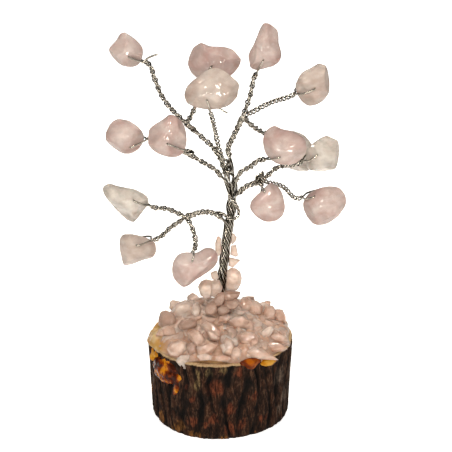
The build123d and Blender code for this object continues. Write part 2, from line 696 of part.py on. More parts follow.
twist_level_share = 0.4535
strands = {
    "lower_left": Strand(
        slot=90, leave_share=0.3729, via_shares=((0.02, -0.19, 0.3987),),
        end=boughs["lower_left"].root),
    "lower_right": Strand(
        slot=330, leave_share=0.4585, via_shares=((0.148, -0.13, 0.4793),),
        end=boughs["lower_right"].root),
    "middle_left": Strand(
        slot=270, leave_share=0.4774, via_shares=((0.04, -0.13, 0.5183),),
        end=boughs["middle_left"].root),
    "trunk_right": Strand(
        slot=30, leave_share=0.4862, via_shares=((0.133, -0.17, 0.524),),
        end=single_roots["trunk_right"]),
    "crown_left": Strand(
        slot=210, leave_share=0.4774, via_shares=((0.04, 0.06, 0.5278), (0.01, 0.11, 0.5744)),
        end=boughs["crown_left"].root),
    "crown_right": Strand(
        slot=150, leave_share=0.4774, via_shares=((0.108, 0.11, 0.5278), (0.085, 0.07, 0.5744)),
        end=boughs["crown_right"].root),
    "trunk_top": Strand(
        slot=None, leave_share=0.4774, via_shares=((0.073, -0.02, 0.5234), (0.04, -0.08, 0.5656)),
        end=single_roots["trunk_top"]),
}
hole_foot = log_height - trunk_hole_depth + trunk_hole_clearance


def strand_route(strand):
    station_rise = strand_pitch * strand_station_turn / 360
    count = ceil((strand.leave - hole_foot) / station_rise)
    points = []
    for i in range(count + 1):
        z = hole_foot + (strand.leave - hole_foot) * i / count
        centre = trunk_centre(z)
        if strand.slot is not None:
            angle = radians(strand.slot - 360 * (z - height_at(twist_level_share)) / strand_pitch)
            centre += Vector(cos(angle), sin(angle), 0) * strand_coil_radius
        points.append(centre)
    if strand.slot is None:
        # the core strand has no coil, so it bends only where the trunk does
        points = trunk_core_points(points)
    last = towards(strand.end, strand.vias[-1], bend_gap / 2)
    return [*points, *strand.vias, last]


def trunk_core_points(points):
    kept = [points[0]]
    for before, here, after in zip(points, points[1:], points[2:]):
        if (here - before).get_angle(after - here) > least_core_bend:
            kept.append(here)
    return [*kept, points[-1]]


for name, strand in strands.items():
    save(tube(strand_route(strand), strand_diameter), f"trunk_strand_{name}")
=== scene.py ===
# %% [markdown]
# # A gemstone tree
# A slice of log carries a heap of rose quartz chips in clear glue, and a little tree of twisted wire
# grows out of it with fifteen drilled stones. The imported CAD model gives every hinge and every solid
# in one frame, in metres. This lesson dresses it: each step says what the real thing is made of, how
# it could be modelled, and why one way was chosen.

# %% Load the frame and keep its size
import bpy
import bmesh
import itertools
import json
import math
import random
from mathutils import Matrix, Vector, noise
from mathutils.bvhtree import BVHTree


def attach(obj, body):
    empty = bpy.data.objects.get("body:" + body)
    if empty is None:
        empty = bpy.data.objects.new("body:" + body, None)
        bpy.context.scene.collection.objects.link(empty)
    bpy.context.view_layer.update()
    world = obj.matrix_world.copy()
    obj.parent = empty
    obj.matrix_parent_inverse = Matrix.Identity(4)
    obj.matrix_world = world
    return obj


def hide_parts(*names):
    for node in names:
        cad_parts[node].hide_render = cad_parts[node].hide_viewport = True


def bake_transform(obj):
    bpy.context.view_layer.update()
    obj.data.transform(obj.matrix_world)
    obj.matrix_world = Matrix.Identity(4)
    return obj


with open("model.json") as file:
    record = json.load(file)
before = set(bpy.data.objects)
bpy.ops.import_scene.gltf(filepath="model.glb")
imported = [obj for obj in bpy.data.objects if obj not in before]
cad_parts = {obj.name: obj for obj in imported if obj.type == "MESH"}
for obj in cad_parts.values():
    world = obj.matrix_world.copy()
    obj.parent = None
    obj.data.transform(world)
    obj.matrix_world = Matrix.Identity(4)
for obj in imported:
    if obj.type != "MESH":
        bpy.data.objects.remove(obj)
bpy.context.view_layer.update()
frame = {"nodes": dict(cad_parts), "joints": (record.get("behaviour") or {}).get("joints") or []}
joints = {joint["name"]: joint for joint in frame["joints"]}
MM = 0.001
scene = bpy.context.scene

# %% [markdown]
# ## Camera
# The photograph looks down on the tree a little, from about 35 cm away. The places of the stones and
# of the log's rim in it give the camera's height, tilt and focal length, so the camera is set by
# numbers rather than by eye.

# %% Camera at the photograph's angle
CAMERA_PLACE = Vector((1.9, -300.0, 173.0)) * MM
CAMERA_PITCH_DOWN = 19.3
FOCAL_PIXELS = 947.0
FRAME_PIXELS = 452.0
SENSOR_MM = 36.0

camera_data = bpy.data.cameras.new("camera")
camera_data.sensor_width = SENSOR_MM
camera_data.lens = FOCAL_PIXELS / FRAME_PIXELS * SENSOR_MM
camera_data.clip_start = 0.01
camera = bpy.data.objects.new("camera", camera_data)
camera.location = CAMERA_PLACE
camera.rotation_euler = (math.radians(90 - CAMERA_PITCH_DOWN), 0, 0)
scene.collection.objects.link(camera)
scene.camera = camera
print("lens in mm:", round(camera_data.lens, 1))

# %% [markdown]
# ## Small helpers
# A hex colour from a paint chart is in sRGB, but shaders count in linear light, so one function turns
# it. One function adds a node, for shader trees and Geometry Nodes alike. Its inputs are values,
# sockets or other nodes; of a node it takes the first output in use.

# %% Colours
def linear(hex_colour):
    """sRGB hex to linear RGBA."""
    values = [int(hex_colour[i:i + 2], 16) / 255 for i in (1, 3, 5)]
    return [v / 12.92 if v <= 0.04045 else ((v + 0.055) / 1.055) ** 2.4 for v in values] + [1.0]


print("middle grey in linear light:", round(linear("#808080")[0], 3))


# %% Nodes
def node(tree, kind, inputs=(), stops=(), **settings):
    """Adds a node. Its operation may follow its kind after a space; stops are a ramp's colours."""
    kind, _, operation = kind.partition(" ")
    made = tree.nodes.new(kind)
    if operation:
        made.operation = operation
    for key, value in settings.items():
        setattr(made, key, value)
    for key, value in inputs.items() if isinstance(inputs, dict) else enumerate(inputs):
        if isinstance(value, bpy.types.Node):
            value = next(socket for socket in value.outputs if socket.enabled)
        if isinstance(value, bpy.types.NodeSocket):
            tree.links.new(value, made.inputs[key])
        else:
            made.inputs[key].default_value = value
    if stops:
        elements = made.color_ramp.elements
        while len(elements) < len(stops):
            elements.new(0.5)
        for element, (position, colour) in zip(elements, stops):
            element.position = position
            element.color = linear(colour)
    return made


def new_finish(name):
    """A material with an empty node tree."""
    material = bpy.data.materials.new(name)
    material.use_nodes = True
    material.node_tree.nodes.clear()
    return material, material.node_tree


MIXED = {"data_type": "RGBA"}
MULTIPLIED = {"data_type": "RGBA", "blend_type": "MULTIPLY"}
print("node kinds at hand:", len([kind for kind in dir(bpy.types) if kind.startswith("ShaderNode")]))

# %% [markdown]
# ## Pieces of the scene
# A piece keeps its object at the origin and its place in its mesh, as the CAD nodes do. Most pieces
# are parented to an empty named after the body they move with; the twig and bough wires are left
# unparented. The CAD node that a piece replaces is hidden.

# %% Making and dressing pieces
def mesh_object(name, mesh, material=None):
    piece = bpy.data.objects.new(name, mesh)
    scene.collection.objects.link(piece)
    if material:
        mesh.materials.clear()
        mesh.materials.append(material)
    return piece


def smooth(mesh):
    mesh.polygons.foreach_set("use_smooth", [True] * len(mesh.polygons))


def joined(meshes, name):
    """One mesh out of several, which are then removed."""
    work = bmesh.new()
    for mesh in meshes:
        work.from_mesh(mesh)
        bpy.data.meshes.remove(mesh)
    made = bpy.data.meshes.new(name)
    work.to_mesh(made)
    work.free()
    smooth(made)
    return made


def plain_mesh(carrier, name):
    """The evaluated result of an object's modifiers as a plain mesh; the carrier is removed."""
    depsgraph = bpy.context.evaluated_depsgraph_get()
    made = bpy.data.meshes.new_from_object(carrier.evaluated_get(depsgraph), depsgraph=depsgraph)
    made.name = name
    bpy.data.objects.remove(carrier)
    return made


def clean_copy(cad_node):
    """A CAD node's mesh with its loose triangles merged."""
    mesh = frame["nodes"][cad_node].data.copy()
    work = bmesh.new()
    work.from_mesh(mesh)
    bmesh.ops.remove_doubles(work, verts=work.verts, dist=0.002 * MM)
    work.to_mesh(mesh)
    work.free()
    mesh.materials.clear()
    return mesh


def ray_target(mesh):
    """What rays are shot at to find the skin of a mesh."""
    return BVHTree.FromPolygons([v.co for v in mesh.vertices], [list(p.vertices) for p in mesh.polygons])


print("CAD nodes to dress:", len(frame["nodes"]))

# %% Places in the crown
TREE_TOP = 136.0
LOG_TOP = 28.0
CROWN_HALF_WIDTH = 40.0
CROWN_HALF_DEPTH = 10.0


def height_at(share):
    """Height in mm from a share of the way from the log's top to the top of the tree."""
    return LOG_TOP + (TREE_TOP - LOG_TOP) * share


def sized(shares):
    """A place in the crown from shares of its half width, half depth and height."""
    return Vector((CROWN_HALF_WIDTH * shares[0], CROWN_HALF_DEPTH * shares[1], height_at(shares[2]))) * MM


def joint_place(name):
    return Vector(joints[name]["pos_m"])


print("top of the tree in mm:", height_at(1.0))

# %% [markdown]
# ## Quartz
# Rose quartz is a cloudy pink crystal. Tumbling leaves a glossy skin (IOR 1.54) over a body that light
# enters and scatters in, with paler veils and a few darker flaws. Some of the stones are nearly clear.
# A principled shader with some transmission and some subsurface light does both; the veils come from
# stretched noise some millimetres wide, and the gloss breaks where the tumbling left scratches.

# %% Quartz finish
QUARTZ_IOR = 1.544
CRACK_WHITE = "#f4ebe4"
PIT_MM = 1.1


def quartz(name, pale, body, deep, clearness, gloss, veil_mm):
    """A quartz finish: three colours, how clear it is, its roughness and how wide its veils are."""
    material, tree = new_finish(name)
    place = node(tree, "ShaderNodeTexCoord").outputs["Object"]
    bent = node(tree, "ShaderNodeMapping", {"Vector": place, "Scale": (1.0, 0.7, 1.35)})
    veils = node(tree, "ShaderNodeTexNoise", {
        "Vector": bent, "Scale": 1000 / veil_mm, "Detail": 5.0, "Roughness": 0.55, "Distortion": 0.7})
    colour = node(tree, "ShaderNodeValToRGB", [veils], [(0.22, deep), (0.46, body), (0.74, pale)])
    warp = node(tree, "ShaderNodeTexNoise", {"Vector": place, "Scale": 1000 / veil_mm, "Detail": 3.0})
    crooked = node(tree, "ShaderNodeMix", {0: 0.16, 4: bent, 5: warp.outputs["Color"]}, data_type="VECTOR")
    edges = node(tree, "ShaderNodeTexVoronoi", {
        "Vector": crooked, "Scale": 900 / veil_mm, "Randomness": 1.0}, feature="DISTANCE_TO_EDGE")
    crack = node(tree, "ShaderNodeMapRange", {
        "Value": edges, "From Min": 0.035, "From Max": 0.0, "To Max": 0.5})
    veiled = node(tree, "ShaderNodeMapRange", {"Value": veils, "From Min": 0.42, "From Max": 0.56})
    crack = node(tree, "ShaderNodeMath MULTIPLY", [crack, veiled])
    colour = node(tree, "ShaderNodeMix", {0: crack, 6: colour, 7: linear(CRACK_WHITE)}, **MIXED)
    cloud = node(tree, "ShaderNodeTexNoise", {"Vector": bent, "Scale": 1700 / veil_mm, "Detail": 3.0})
    see_through = node(tree, "ShaderNodeMapRange", {
        "Value": cloud, "From Min": 0.35, "From Max": 0.65,
        "To Min": clearness * 1.15, "To Max": clearness * 0.7})
    pits = node(tree, "ShaderNodeTexNoise", {"Vector": place, "Scale": 1000 / PIT_MM, "Detail": 4.0})
    bump = node(tree, "ShaderNodeBump", {"Height": pits, "Strength": 0.02, "Distance": 0.25 * MM})
    shine = node(tree, "ShaderNodeMapRange", {
        "Value": pits, "From Min": 0.4, "From Max": 0.7, "To Min": gloss, "To Max": gloss + 0.04})
    shader = node(tree, "ShaderNodeBsdfPrincipled", {
        "Base Color": colour, "Roughness": shine, "IOR": QUARTZ_IOR, "Transmission Weight": see_through,
        "Subsurface Weight": 0.3, "Subsurface Radius": (1.0, 0.72, 0.62), "Subsurface Scale": 1.2 * MM,
        "Normal": bump})
    node(tree, "ShaderNodeOutputMaterial", {"Surface": shader})
    return material


# %% Rose, milky and clear quartz
rose_quartz = quartz("rose_quartz_tumbled", "#e0d4d0", "#d1bbb5", "#c39f9a", 0.4, 0.045, 7.0)
milky_quartz = quartz("milky_quartz_tumbled", "#e4dad3", "#d3c4bb", "#c5aea4", 0.46, 0.045, 7.0)
clear_quartz = quartz("clear_quartz_tumbled", "#ebe6e0", "#dcd4cc", "#c2b8af", 0.66, 0.04, 6.0)
chip_quartz = quartz("quartz_chips_in_glue", "#f3ded2", "#e5c6b4", "#cca38e", 0.5, 0.05, 4.5)
brown_quartz = quartz("quartz_chips_smoky", "#d3b9aa", "#c0a190", "#a68775", 0.44, 0.05, 6.0)
pale_quartz = quartz("quartz_chips_clear", "#fbeee4", "#f1ddd0", "#dcc0af", 0.55, 0.045, 5.0)
print("quartz finishes:", len(bpy.data.materials))

# %% [markdown]
# ## Wire
# Craft wire for such trees is silver-coloured copper, drawn bright and then twisted by hand. It is a
# metal (metallic 1) with a warm grey reflection, fairly sharp, dulled a little where fingers and the
# pliers went. Shade is painted into the twist: each wire carries an attribute that says how far its
# skin faces outwards, and the colour is painted darker, nearly black, where it faces in.

# %% Silver-coloured craft wire
silver_wire, tree = new_finish("silver_craft_wire_drawn")
place = node(tree, "ShaderNodeTexCoord").outputs["Object"]
smears = node(tree, "ShaderNodeTexNoise", {"Vector": place, "Scale": 1000 / 1.6, "Detail": 4.0})
tarnish_and_shade = node(tree, "ShaderNodeValToRGB", [smears], [
    (0.32, "#89837a"), (0.50, "#b9b5ab"), (0.68, "#e4e0d8")])
# Painted shade: a ramp that darkens the wire towards black where its skin faces into the twist.
outside = node(tree, "ShaderNodeAttribute", attribute_name="outside").outputs["Fac"]
painted_shade = node(tree, "ShaderNodeValToRGB", [outside], [(0.08, "#1a1712"), (0.48, "#5d574c"), (0.8, "#ffffff")])
tarnish_and_shade = node(tree, "ShaderNodeMix", {0: 1.0, 6: tarnish_and_shade, 7: painted_shade}, **MULTIPLIED)
dulled = node(tree, "ShaderNodeMapRange", {
    "Value": smears, "From Min": 0.3, "From Max": 0.7, "To Min": 0.26, "To Max": 0.1})
nicks = node(tree, "ShaderNodeTexNoise", {"Vector": place, "Scale": 1000 / 0.35, "Detail": 2.0})
nicked = node(tree, "ShaderNodeBump", {"Height": nicks, "Strength": 0.25, "Distance": 0.05 * MM})
shader = node(tree, "ShaderNodeBsdfPrincipled", {
    "Base Color": tarnish_and_shade, "Metallic": 1.0, "Roughness": dulled, "Normal": nicked})
node(tree, "ShaderNodeOutputMaterial", {"Surface": shader})
print("wire finish nodes:", len(tree.nodes))

# %% [markdown]
# ## Tumbled stones
# Each stone was broken, tumbled until its corners were soft, and drilled through. The CAD solid has
# the outline and the drilled hole. A fine voxel remesh gives it an even skin, soft cuts by planes give
# it the flat faces that a broken crystal keeps, and a slow noise takes the last regularity away.

# %% Skin, facets and waves
SKIN_VOXEL = 0.3 * MM
SKIN_PASSES = 12
FACET_SOFTNESS = 0.12 * MM
NO_PUSH, FULL_PUSH = -6, 30


def skinned(mesh, voxel, passes):
    """Voxel remesh and smoothing of a closed mesh."""
    carrier = mesh_object("skin_carrier", mesh)
    remesh = carrier.modifiers.new("skin", "REMESH")
    remesh.mode = "VOXEL"
    remesh.voxel_size = voxel
    relax = carrier.modifiers.new("relax", "SMOOTH")
    relax.factor = 0.5
    relax.iterations = passes
    made = plain_mesh(carrier, "skin")
    bpy.data.meshes.remove(mesh)
    smooth(made)
    return made

def facet(mesh, planes):
    """Soft plane cuts: each plane is an outward direction, its distance and the middle it counts from."""
    for vertex in mesh.vertices:
        for direction, distance, middle in planes:
            over = ((vertex.co - middle).dot(direction) - distance) / FACET_SOFTNESS
            if over > NO_PUSH:
                push = FACET_SOFTNESS * (math.log1p(math.exp(over)) if over < FULL_PUSH else over)
                vertex.co -= direction * push
    mesh.update()


def wave(mesh, depth, width, seed):
    """A slow noise along the normals."""
    offset = Vector((seed * 3.7, seed * 1.3, seed * 7.1))
    normals = [vertex.normal.copy() for vertex in mesh.vertices]
    for vertex, normal in zip(mesh.vertices, normals):
        vertex.co += normal * depth * noise.noise(vertex.co / width + offset)
    mesh.update()


print("skin voxel in mm:", SKIN_VOXEL / MM)

# %% [markdown]
# The table gives each stone its facets, as directions on the stone's face (0 is right, 90 is up), how
# much they lean towards the viewer, and how deep they cut as a share of the stone's half size, and
# its quartz. The back face has the same facets, turned a little.

# %% Stones
STONES = {
    "top_left": (rose_quartz, ((40, 35, 0.81), (140, 40, 0.79), (215, 25, 0.81), (320, 55, 0.83))),
    "top_back": (rose_quartz, ((150, 45, 0.79), (60, 30, 0.75), (330, 45, 0.81))),
    "top_front": (milky_quartz, ((70, 40, 0.79), (180, 45, 0.81), (330, 35, 0.81), (250, 50, 0.85))),
    "tall_tear": (rose_quartz, ((20, 40, 0.79), (170, 35, 0.77), (280, 45, 0.85))),
    "upper_right": (milky_quartz, ((100, 40, 0.81), (10, 35, 0.79), (220, 45, 0.81))),
    "middle_left": (rose_quartz, ((110, 45, 0.81), (350, 40, 0.79), (230, 40, 0.83))),
    "middle_left_inner": (rose_quartz, ((150, 38, 0.73), (330, 62, 0.77), (20, 25, 0.83))),
    "middle_right_inner": (rose_quartz, ((80, 45, 0.83), (320, 40, 0.83), (190, 40, 0.83))),
    "middle_right_outer": (clear_quartz, ((90, 30, 0.79), (0, 32, 0.79), (270, 30, 0.81), (135, 60, 0.79))),
    "middle_right_back": (clear_quartz, ((45, 40, 0.81), (260, 35, 0.81), (150, 45, 0.81))),
    "lower_right_inner": (rose_quartz, ((60, 45, 0.85), (240, 40, 0.85))),
    "lower_right_heart": (rose_quartz, ((45, 45, 0.85), (200, 45, 0.83), (300, 35, 0.81))),
    "lower_left_clear": (clear_quartz, ((60, 42, 0.75), (230, 42, 0.75), (340, 40, 0.81))),
    "lower_left": (milky_quartz, ((50, 40, 0.79), (290, 38, 0.77), (180, 45, 0.81))),
    "low_centre": (rose_quartz, ((100, 50, 0.81), (310, 38, 0.77), (200, 40, 0.81))),
}
BACK_TURN = 47
WAVES = ((0.16 * MM, 5.0 * MM, 0), (0.13 * MM, 2.0 * MM, 30))
stone_frames = {}
stone_trees = {}

for number, (name, (finish, facets)) in enumerate(STONES.items()):
    face = Vector(joints[f"stone_{name}_swivel"]["axis"]).normalized()
    right = Vector((0, 0, 1)).cross(face).normalized()
    up = face.cross(right)
    stone_frames[name] = (joint_place(f"stone_{name}_swivel"), right, up, face)
    mesh = skinned(clean_copy(f"stone_{name}"), SKIN_VOXEL, SKIN_PASSES)
    middle = sum((vertex.co for vertex in mesh.vertices), Vector()) / len(mesh.vertices)
    planes = []
    for bearing, lean, share in facets:
        for side in (1, -1):
            turned = math.radians(bearing if side > 0 else bearing + BACK_TURN)
            outward = right * math.cos(turned) + up * math.sin(turned)
            direction = outward * math.cos(math.radians(lean)) + face * side * math.sin(math.radians(lean))
            reach = max((vertex.co - middle).dot(direction) for vertex in mesh.vertices)
            planes.append((direction, reach * share, middle))
    facet(mesh, planes)
    for depth, width, seed in WAVES:
        wave(mesh, depth, width, number + seed)
    piece = mesh_object(f"tumbled_stone_{name}", mesh, finish)
    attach(piece, f"stone_{name}")
    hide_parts(f"stone_{name}")
    stone_trees[name] = ray_target(mesh)
print("stones:", len(STONES), "faces each about", len(mesh.polygons))

# %% [markdown]
# ## Twisted wire
# Two wires leave each stone and are twisted together down to the fork, where the pairs are twisted
# again into a bough. Geometry Nodes can do this along any curve: copy the curve once for each wire,
# push every copy sideways by an angle that grows with the length, and sweep a small circle along it.

# %% Inputs, end and use of a Geometry Nodes tree
def tree_inputs(tree, table):
    """Adds a tree's inputs and its output; gives the identifier of each input."""
    identifiers = {}
    for label, kind, default in table:
        item = tree.interface.new_socket(label, in_out="INPUT", socket_type="NodeSocket" + kind)
        if default is not None:
            item.default_value = default
        identifiers[label] = item.identifier
    tree.interface.new_socket("Geometry", in_out="OUTPUT", socket_type="NodeSocketGeometry")
    return identifiers


def end_tree(tree, geometry, material):
    """Realizes what a tree made, gives it its material and sends it out."""
    real = node(tree, "GeometryNodeRealizeInstances", {"Geometry": geometry})
    dressed = node(tree, "GeometryNodeSetMaterial", {"Geometry": real, "Material": material})
    node(tree, "NodeGroupOutput", {"Geometry": dressed})


def mesh_from_tree(carrier, name, tree, identifiers, values):
    """The plain mesh that a tree makes of a carrier, which is then removed."""
    modifier = carrier.modifiers.new(name, "NODES")
    modifier.node_group = tree
    for label, value in values.items():
        modifier[identifiers[label]] = value
    return plain_mesh(carrier, name)


wire_tree = bpy.data.node_groups.new("twist_wires", "GeometryNodeTree")
WIRE_INPUTS = tree_inputs(wire_tree, (
    ("Geometry", "Geometry", None), ("Wire diameter", "Float", 0.42 * MM), ("Pairs", "Int", 1),
    ("Pair offset", "Float", 0.0), ("Pair pitch", "Float", 9.0 * MM), ("Wires", "Int", 2),
    ("Wire offset", "Float", 0.23 * MM), ("Wire pitch", "Float", 5.6 * MM), ("Start side", "Vector", None),
    # Painted shade: how strongly a wire is darkened where it faces into the twist.
    ("Looseness", "Float", 0.25), ("Seed", "Float", 0.0), ("Painted shade", "Float", 1.0),
    ("Material", "Material", None),
))
print("inputs of the wire tree:", len(WIRE_INPUTS))

# %% Wire tree: one copy of the curve for each wire
WIRE_STEP = 0.26 * MM
DRIFT_PER_METRE = 350.0

t = wire_tree
given = node(t, "NodeGroupInput").outputs
spaced = node(t, "GeometryNodeResampleCurve", {
    "Curve": given["Geometry"], "Length": WIRE_STEP}, mode="LENGTH")
first = node(t, "GeometryNodeSampleCurve", {"Curves": spaced, "Factor": 0.0}, mode="FACTOR").outputs
first_other = node(t, "ShaderNodeVectorMath CROSS_PRODUCT", [first["Tangent"], first["Normal"]])
lead = node(t, "ShaderNodeMath ARCTAN2", [
    node(t, "ShaderNodeVectorMath DOT_PRODUCT", [given["Start side"], first_other]),
    node(t, "ShaderNodeVectorMath DOT_PRODUCT", [given["Start side"], first["Normal"]])])
wires = node(t, "ShaderNodeMath MULTIPLY", [given["Pairs"], given["Wires"]])
copies = node(t, "GeometryNodeDuplicateElements", {"Geometry": spaced, "Amount": wires}, domain="SPLINE")
number = copies.outputs["Duplicate Index"]
pair_number = node(t, "ShaderNodeMath FLOOR", [node(t, "ShaderNodeMath DIVIDE", [number, given["Wires"]])])
along = node(t, "GeometryNodeSplineParameter").outputs["Length"]
normal = node(t, "GeometryNodeInputNormal").outputs[0]
other = node(t, "ShaderNodeVectorMath CROSS_PRODUCT", [node(t, "GeometryNodeInputTangent"), normal])
drift_at = node(t, "ShaderNodeCombineXYZ", [
    node(t, "ShaderNodeMath MULTIPLY", [along, DRIFT_PER_METRE]),
    node(t, "ShaderNodeMath MULTIPLY", [pair_number, 3.1]), given["Seed"]])
drift = node(t, "ShaderNodeTexNoise", {"Vector": drift_at, "Scale": 1.0, "Detail": 1.0})
drift = node(t, "ShaderNodeMath MULTIPLY", [
    node(t, "ShaderNodeMath SUBTRACT", [drift, 0.5]),
    node(t, "ShaderNodeMath MULTIPLY", [given["Looseness"], 4.0])])
print("nodes so far:", len(t.nodes))


# %% Wire tree: how far each copy is pushed aside
def around(angle, radius):
    """A shift off the curve by a radius, at an angle round it."""
    shifts = []
    for side, turn in ((normal, "COSINE"), (other, "SINE")):
        share = node(t, "ShaderNodeMath MULTIPLY", [node(t, f"ShaderNodeMath {turn}", [angle]), radius])
        shifts.append(node(t, "ShaderNodeVectorMath SCALE", {0: side, "Scale": share}))
    return node(t, "ShaderNodeVectorMath ADD", shifts)


def growing(pitch, count, index):
    """An angle that makes one turn in each pitch; the copies share the circle out among them."""
    turns = node(t, "ShaderNodeMath SUBTRACT", [
        node(t, "ShaderNodeMath DIVIDE", [index, count]), node(t, "ShaderNodeMath DIVIDE", [along, pitch])])
    return node(t, "ShaderNodeMath ADD", [
        node(t, "ShaderNodeMath MULTIPLY", [turns, 2 * math.pi]),
        node(t, "ShaderNodeMath ADD", [lead, drift])])


loosened = node(t, "ShaderNodeMath MULTIPLY", [
    given["Wire offset"], node(t, "ShaderNodeMath ADD", [node(t, "ShaderNodeMath ABSOLUTE", [drift]), 1.0])])
pair_shift = around(growing(given["Pair pitch"], given["Pairs"], pair_number), given["Pair offset"])
wire_shift = around(growing(given["Wire pitch"], given["Wires"], number), loosened)
whole_shift = node(t, "ShaderNodeVectorMath ADD", [pair_shift, wire_shift])
marked = node(t, "GeometryNodeStoreNamedAttribute", {
    "Geometry": copies, "Name": "aside", "Value": whole_shift}, data_type="FLOAT_VECTOR")
laid = node(t, "GeometryNodeSetPosition", {"Geometry": marked, "Offset": whole_shift})
print("nodes so far:", len(t.nodes))

# %% Wire tree: the swept wires and how far their skin faces outwards
ring = node(t, "GeometryNodeCurvePrimitiveCircle", {
    "Resolution": 8, "Radius": node(t, "ShaderNodeMath MULTIPLY", [given["Wire diameter"], 0.5])})
swept = node(t, "GeometryNodeCurveToMesh", {"Curve": laid, "Profile Curve": ring, "Fill Caps": True})
aside = node(t, "GeometryNodeInputNamedAttribute", {"Name": "aside"}, data_type="FLOAT_VECTOR").outputs[0]
facing = node(t, "ShaderNodeVectorMath DOT_PRODUCT", [
    node(t, "ShaderNodeVectorMath NORMALIZE", [aside]), node(t, "GeometryNodeInputNormal").outputs[0]])
# Painted shade: the side of a wire that faces into its bundle gets a low value, which the finish paints dark.
hidden = node(t, "ShaderNodeMath SUBTRACT", [0.5, node(t, "ShaderNodeMath MULTIPLY", [facing, 0.5])])
shaded_share = node(t, "ShaderNodeMath MULTIPLY", [hidden, given["Painted shade"]])
outside = node(t, "ShaderNodeMath SUBTRACT", [1.0, shaded_share])
rated = node(t, "GeometryNodeStoreNamedAttribute", {
    "Geometry": swept, "Name": "outside", "Value": outside}, data_type="FLOAT")
end_tree(t, rated, given["Material"])
print("wire tree has", len(t.nodes), "nodes")

# %% [markdown]
# A smooth curve through the route's points carries the tree. Bezier points with automatic handles
# bend the way a hand bends soft wire, without corners. Each route has its own seed, from its number.

# %% Wires along a route
CURVE_STEPS = 16
SEED_STEP = 5.3
route_numbers = itertools.count(1)


def wires_along(points, lay, start_side):
    """A plain mesh of wires along a smooth curve through the points, laid with a lay's inputs."""
    line = bpy.data.curves.new("route", "CURVE")
    line.dimensions = "3D"
    line.resolution_u = CURVE_STEPS
    spline = line.splines.new("BEZIER")
    spline.bezier_points.add(len(points) - 1)
    for bezier, point in zip(spline.bezier_points, points):
        bezier.co = point
        bezier.handle_left_type = bezier.handle_right_type = "AUTO"
    made = mesh_from_tree(mesh_object("route", line), "wires", wire_tree, WIRE_INPUTS, {
        "Seed": next(route_numbers) * SEED_STEP, "Material": silver_wire, "Start side": start_side, **lay})
    bpy.data.curves.remove(line)
    return made


def towards(start, end, distance):
    return start + (end - start).normalized() * distance


print("wire step in mm:", WIRE_STEP / MM)

# %% [markdown]
# ## Twigs
# Each twig's wire goes up one face of its stone, through the drilled hole and back down the other
# face. The two legs are laid on the stone by shooting rays at it, just clear of its skin wherever it
# swings, and then run into a rope of four wires, as each leg is folded back along itself: two twisted
# pairs on most twigs, a loose coil of three on some. The table gives the way each loop leaves its
# stone (0 is right, 90 is up) and the twig's bends on its way to the fork. At two stones the cut end
# of the wire sticks out.

# %% Lays of the wires
WIRE = 0.54 * MM
LOOP_WIRE = 0.6 * MM
TWIG_OFFSET = 0.4 * MM
FRONT = Vector((0, -1, 0))
ROPE = {"Wire diameter": WIRE, "Wire offset": 0.29 * MM, "Wire pitch": 2.7 * MM, "Looseness": 0.5}
PAIRED = {**ROPE, "Pairs": 2, "Pair offset": TWIG_OFFSET, "Pair pitch": 5.8 * MM}
COILED = {"Wire diameter": WIRE, "Wires": 3, "Wire offset": 0.5 * MM, "Wire pitch": 4.2 * MM,
          "Looseness": 0.6}
# Painted shade on the loop wires' sides, stronger on the cut ends, to paint their dark outlines.
LOOP = {"Wire diameter": LOOP_WIRE, "Wires": 1, "Wire offset": 0.03 * MM, "Wire pitch": 900.0 * MM,
        "Looseness": 0.0, "Painted shade": 0.55}
CUT_END = {**LOOP, "Painted shade": 1.8}
print("loop wire in mm:", LOOP_WIRE / MM)

# %% Routes of boughs and twigs
BOUGHS = {
    "crown_left": ((-0.27, 0.3, 0.6871), ((-0.13, 0.17, 0.6424),), ((0.01, 0.11, 0.5744),)),
    "crown_right": ((0.185, 0.05, 0.7148), ((0.115, 0.03, 0.6594),), ((0.085, 0.07, 0.5744),)),
    "middle_left": ((-0.295, 0.0, 0.6084), ((-0.14, -0.04, 0.5756),), ((0.04, -0.13, 0.5183),)),
    "lower_right": ((0.345, 0.05, 0.5158), ((0.26, 0.0, 0.5057),), ((0.148, -0.13, 0.4793),)),
    "lower_left": ((-0.2775, -0.1, 0.4025), ((-0.15, -0.14, 0.4195),), ((0.02, -0.19, 0.3987),)),
}
TWIGS = {
    "top_left": ("crown_left", -27, ((-0.525, 0.4, 0.8199), (-0.465, 0.35, 0.767), (-0.368, 0.3, 0.7217))),
    "top_back": ("crown_left", -125, ((-0.202, 0.6, 0.7393),)),
    "top_front": (None, -72, ((-0.035, -0.42, 0.6789),)),
    "tall_tear": ("crown_right", -116, ((0.242, 0.18, 0.7759),)),
    "upper_right": ("crown_right", -155, ((0.412, -0.22, 0.7633),)),
    "middle_left": ("middle_left", 18, ((-0.45, 0.3, 0.6323),)),
    "middle_left_inner": ("middle_left", -25, ((-0.252, -0.28, 0.6142),)),
    "middle_right_inner": (None, -165, ((0.235, -0.5, 0.5706),)),
    "middle_right_outer": ("lower_right", -146, ((0.47, -0.04, 0.5593),)),
    "middle_right_back": ("crown_right", 150, ((0.272, 0.45, 0.6764),)),
    "lower_right_inner": ("lower_right", 98, ((0.336, -0.1, 0.535),)),
    "lower_right_heart": ("lower_right", -160, ((0.525, 0.42, 0.4862),)),
    "lower_left_clear": ("lower_left", -27, ((-0.44, -0.24, 0.4333),)),
    "lower_left": ("lower_left", 12, ((-0.412, 0.24, 0.359),)),
    "low_centre": ("lower_left", 72, ((-0.225, -0.46, 0.3685),)),
}
SINGLE_TWIGS = {"top_front": (0.04, -0.08, 0.5656), "middle_right_inner": (0.133, -0.17, 0.524)}
CUT_ENDS = {
    "top_left": ((-25.0, 3.6, 122.0), (-22.7, 3.4, 123.8), (-19.9, 3.0, 124.9)),
    "top_front": ((-3.0, -6.0, 109.6), (-0.9, -7.0, 109.7), (2.4, -7.5, 108.1)),
}
COILED_TWIGS = ("upper_right", "top_front", "middle_left_inner", "lower_right_heart")
print("twigs in the table:", len(TWIGS))

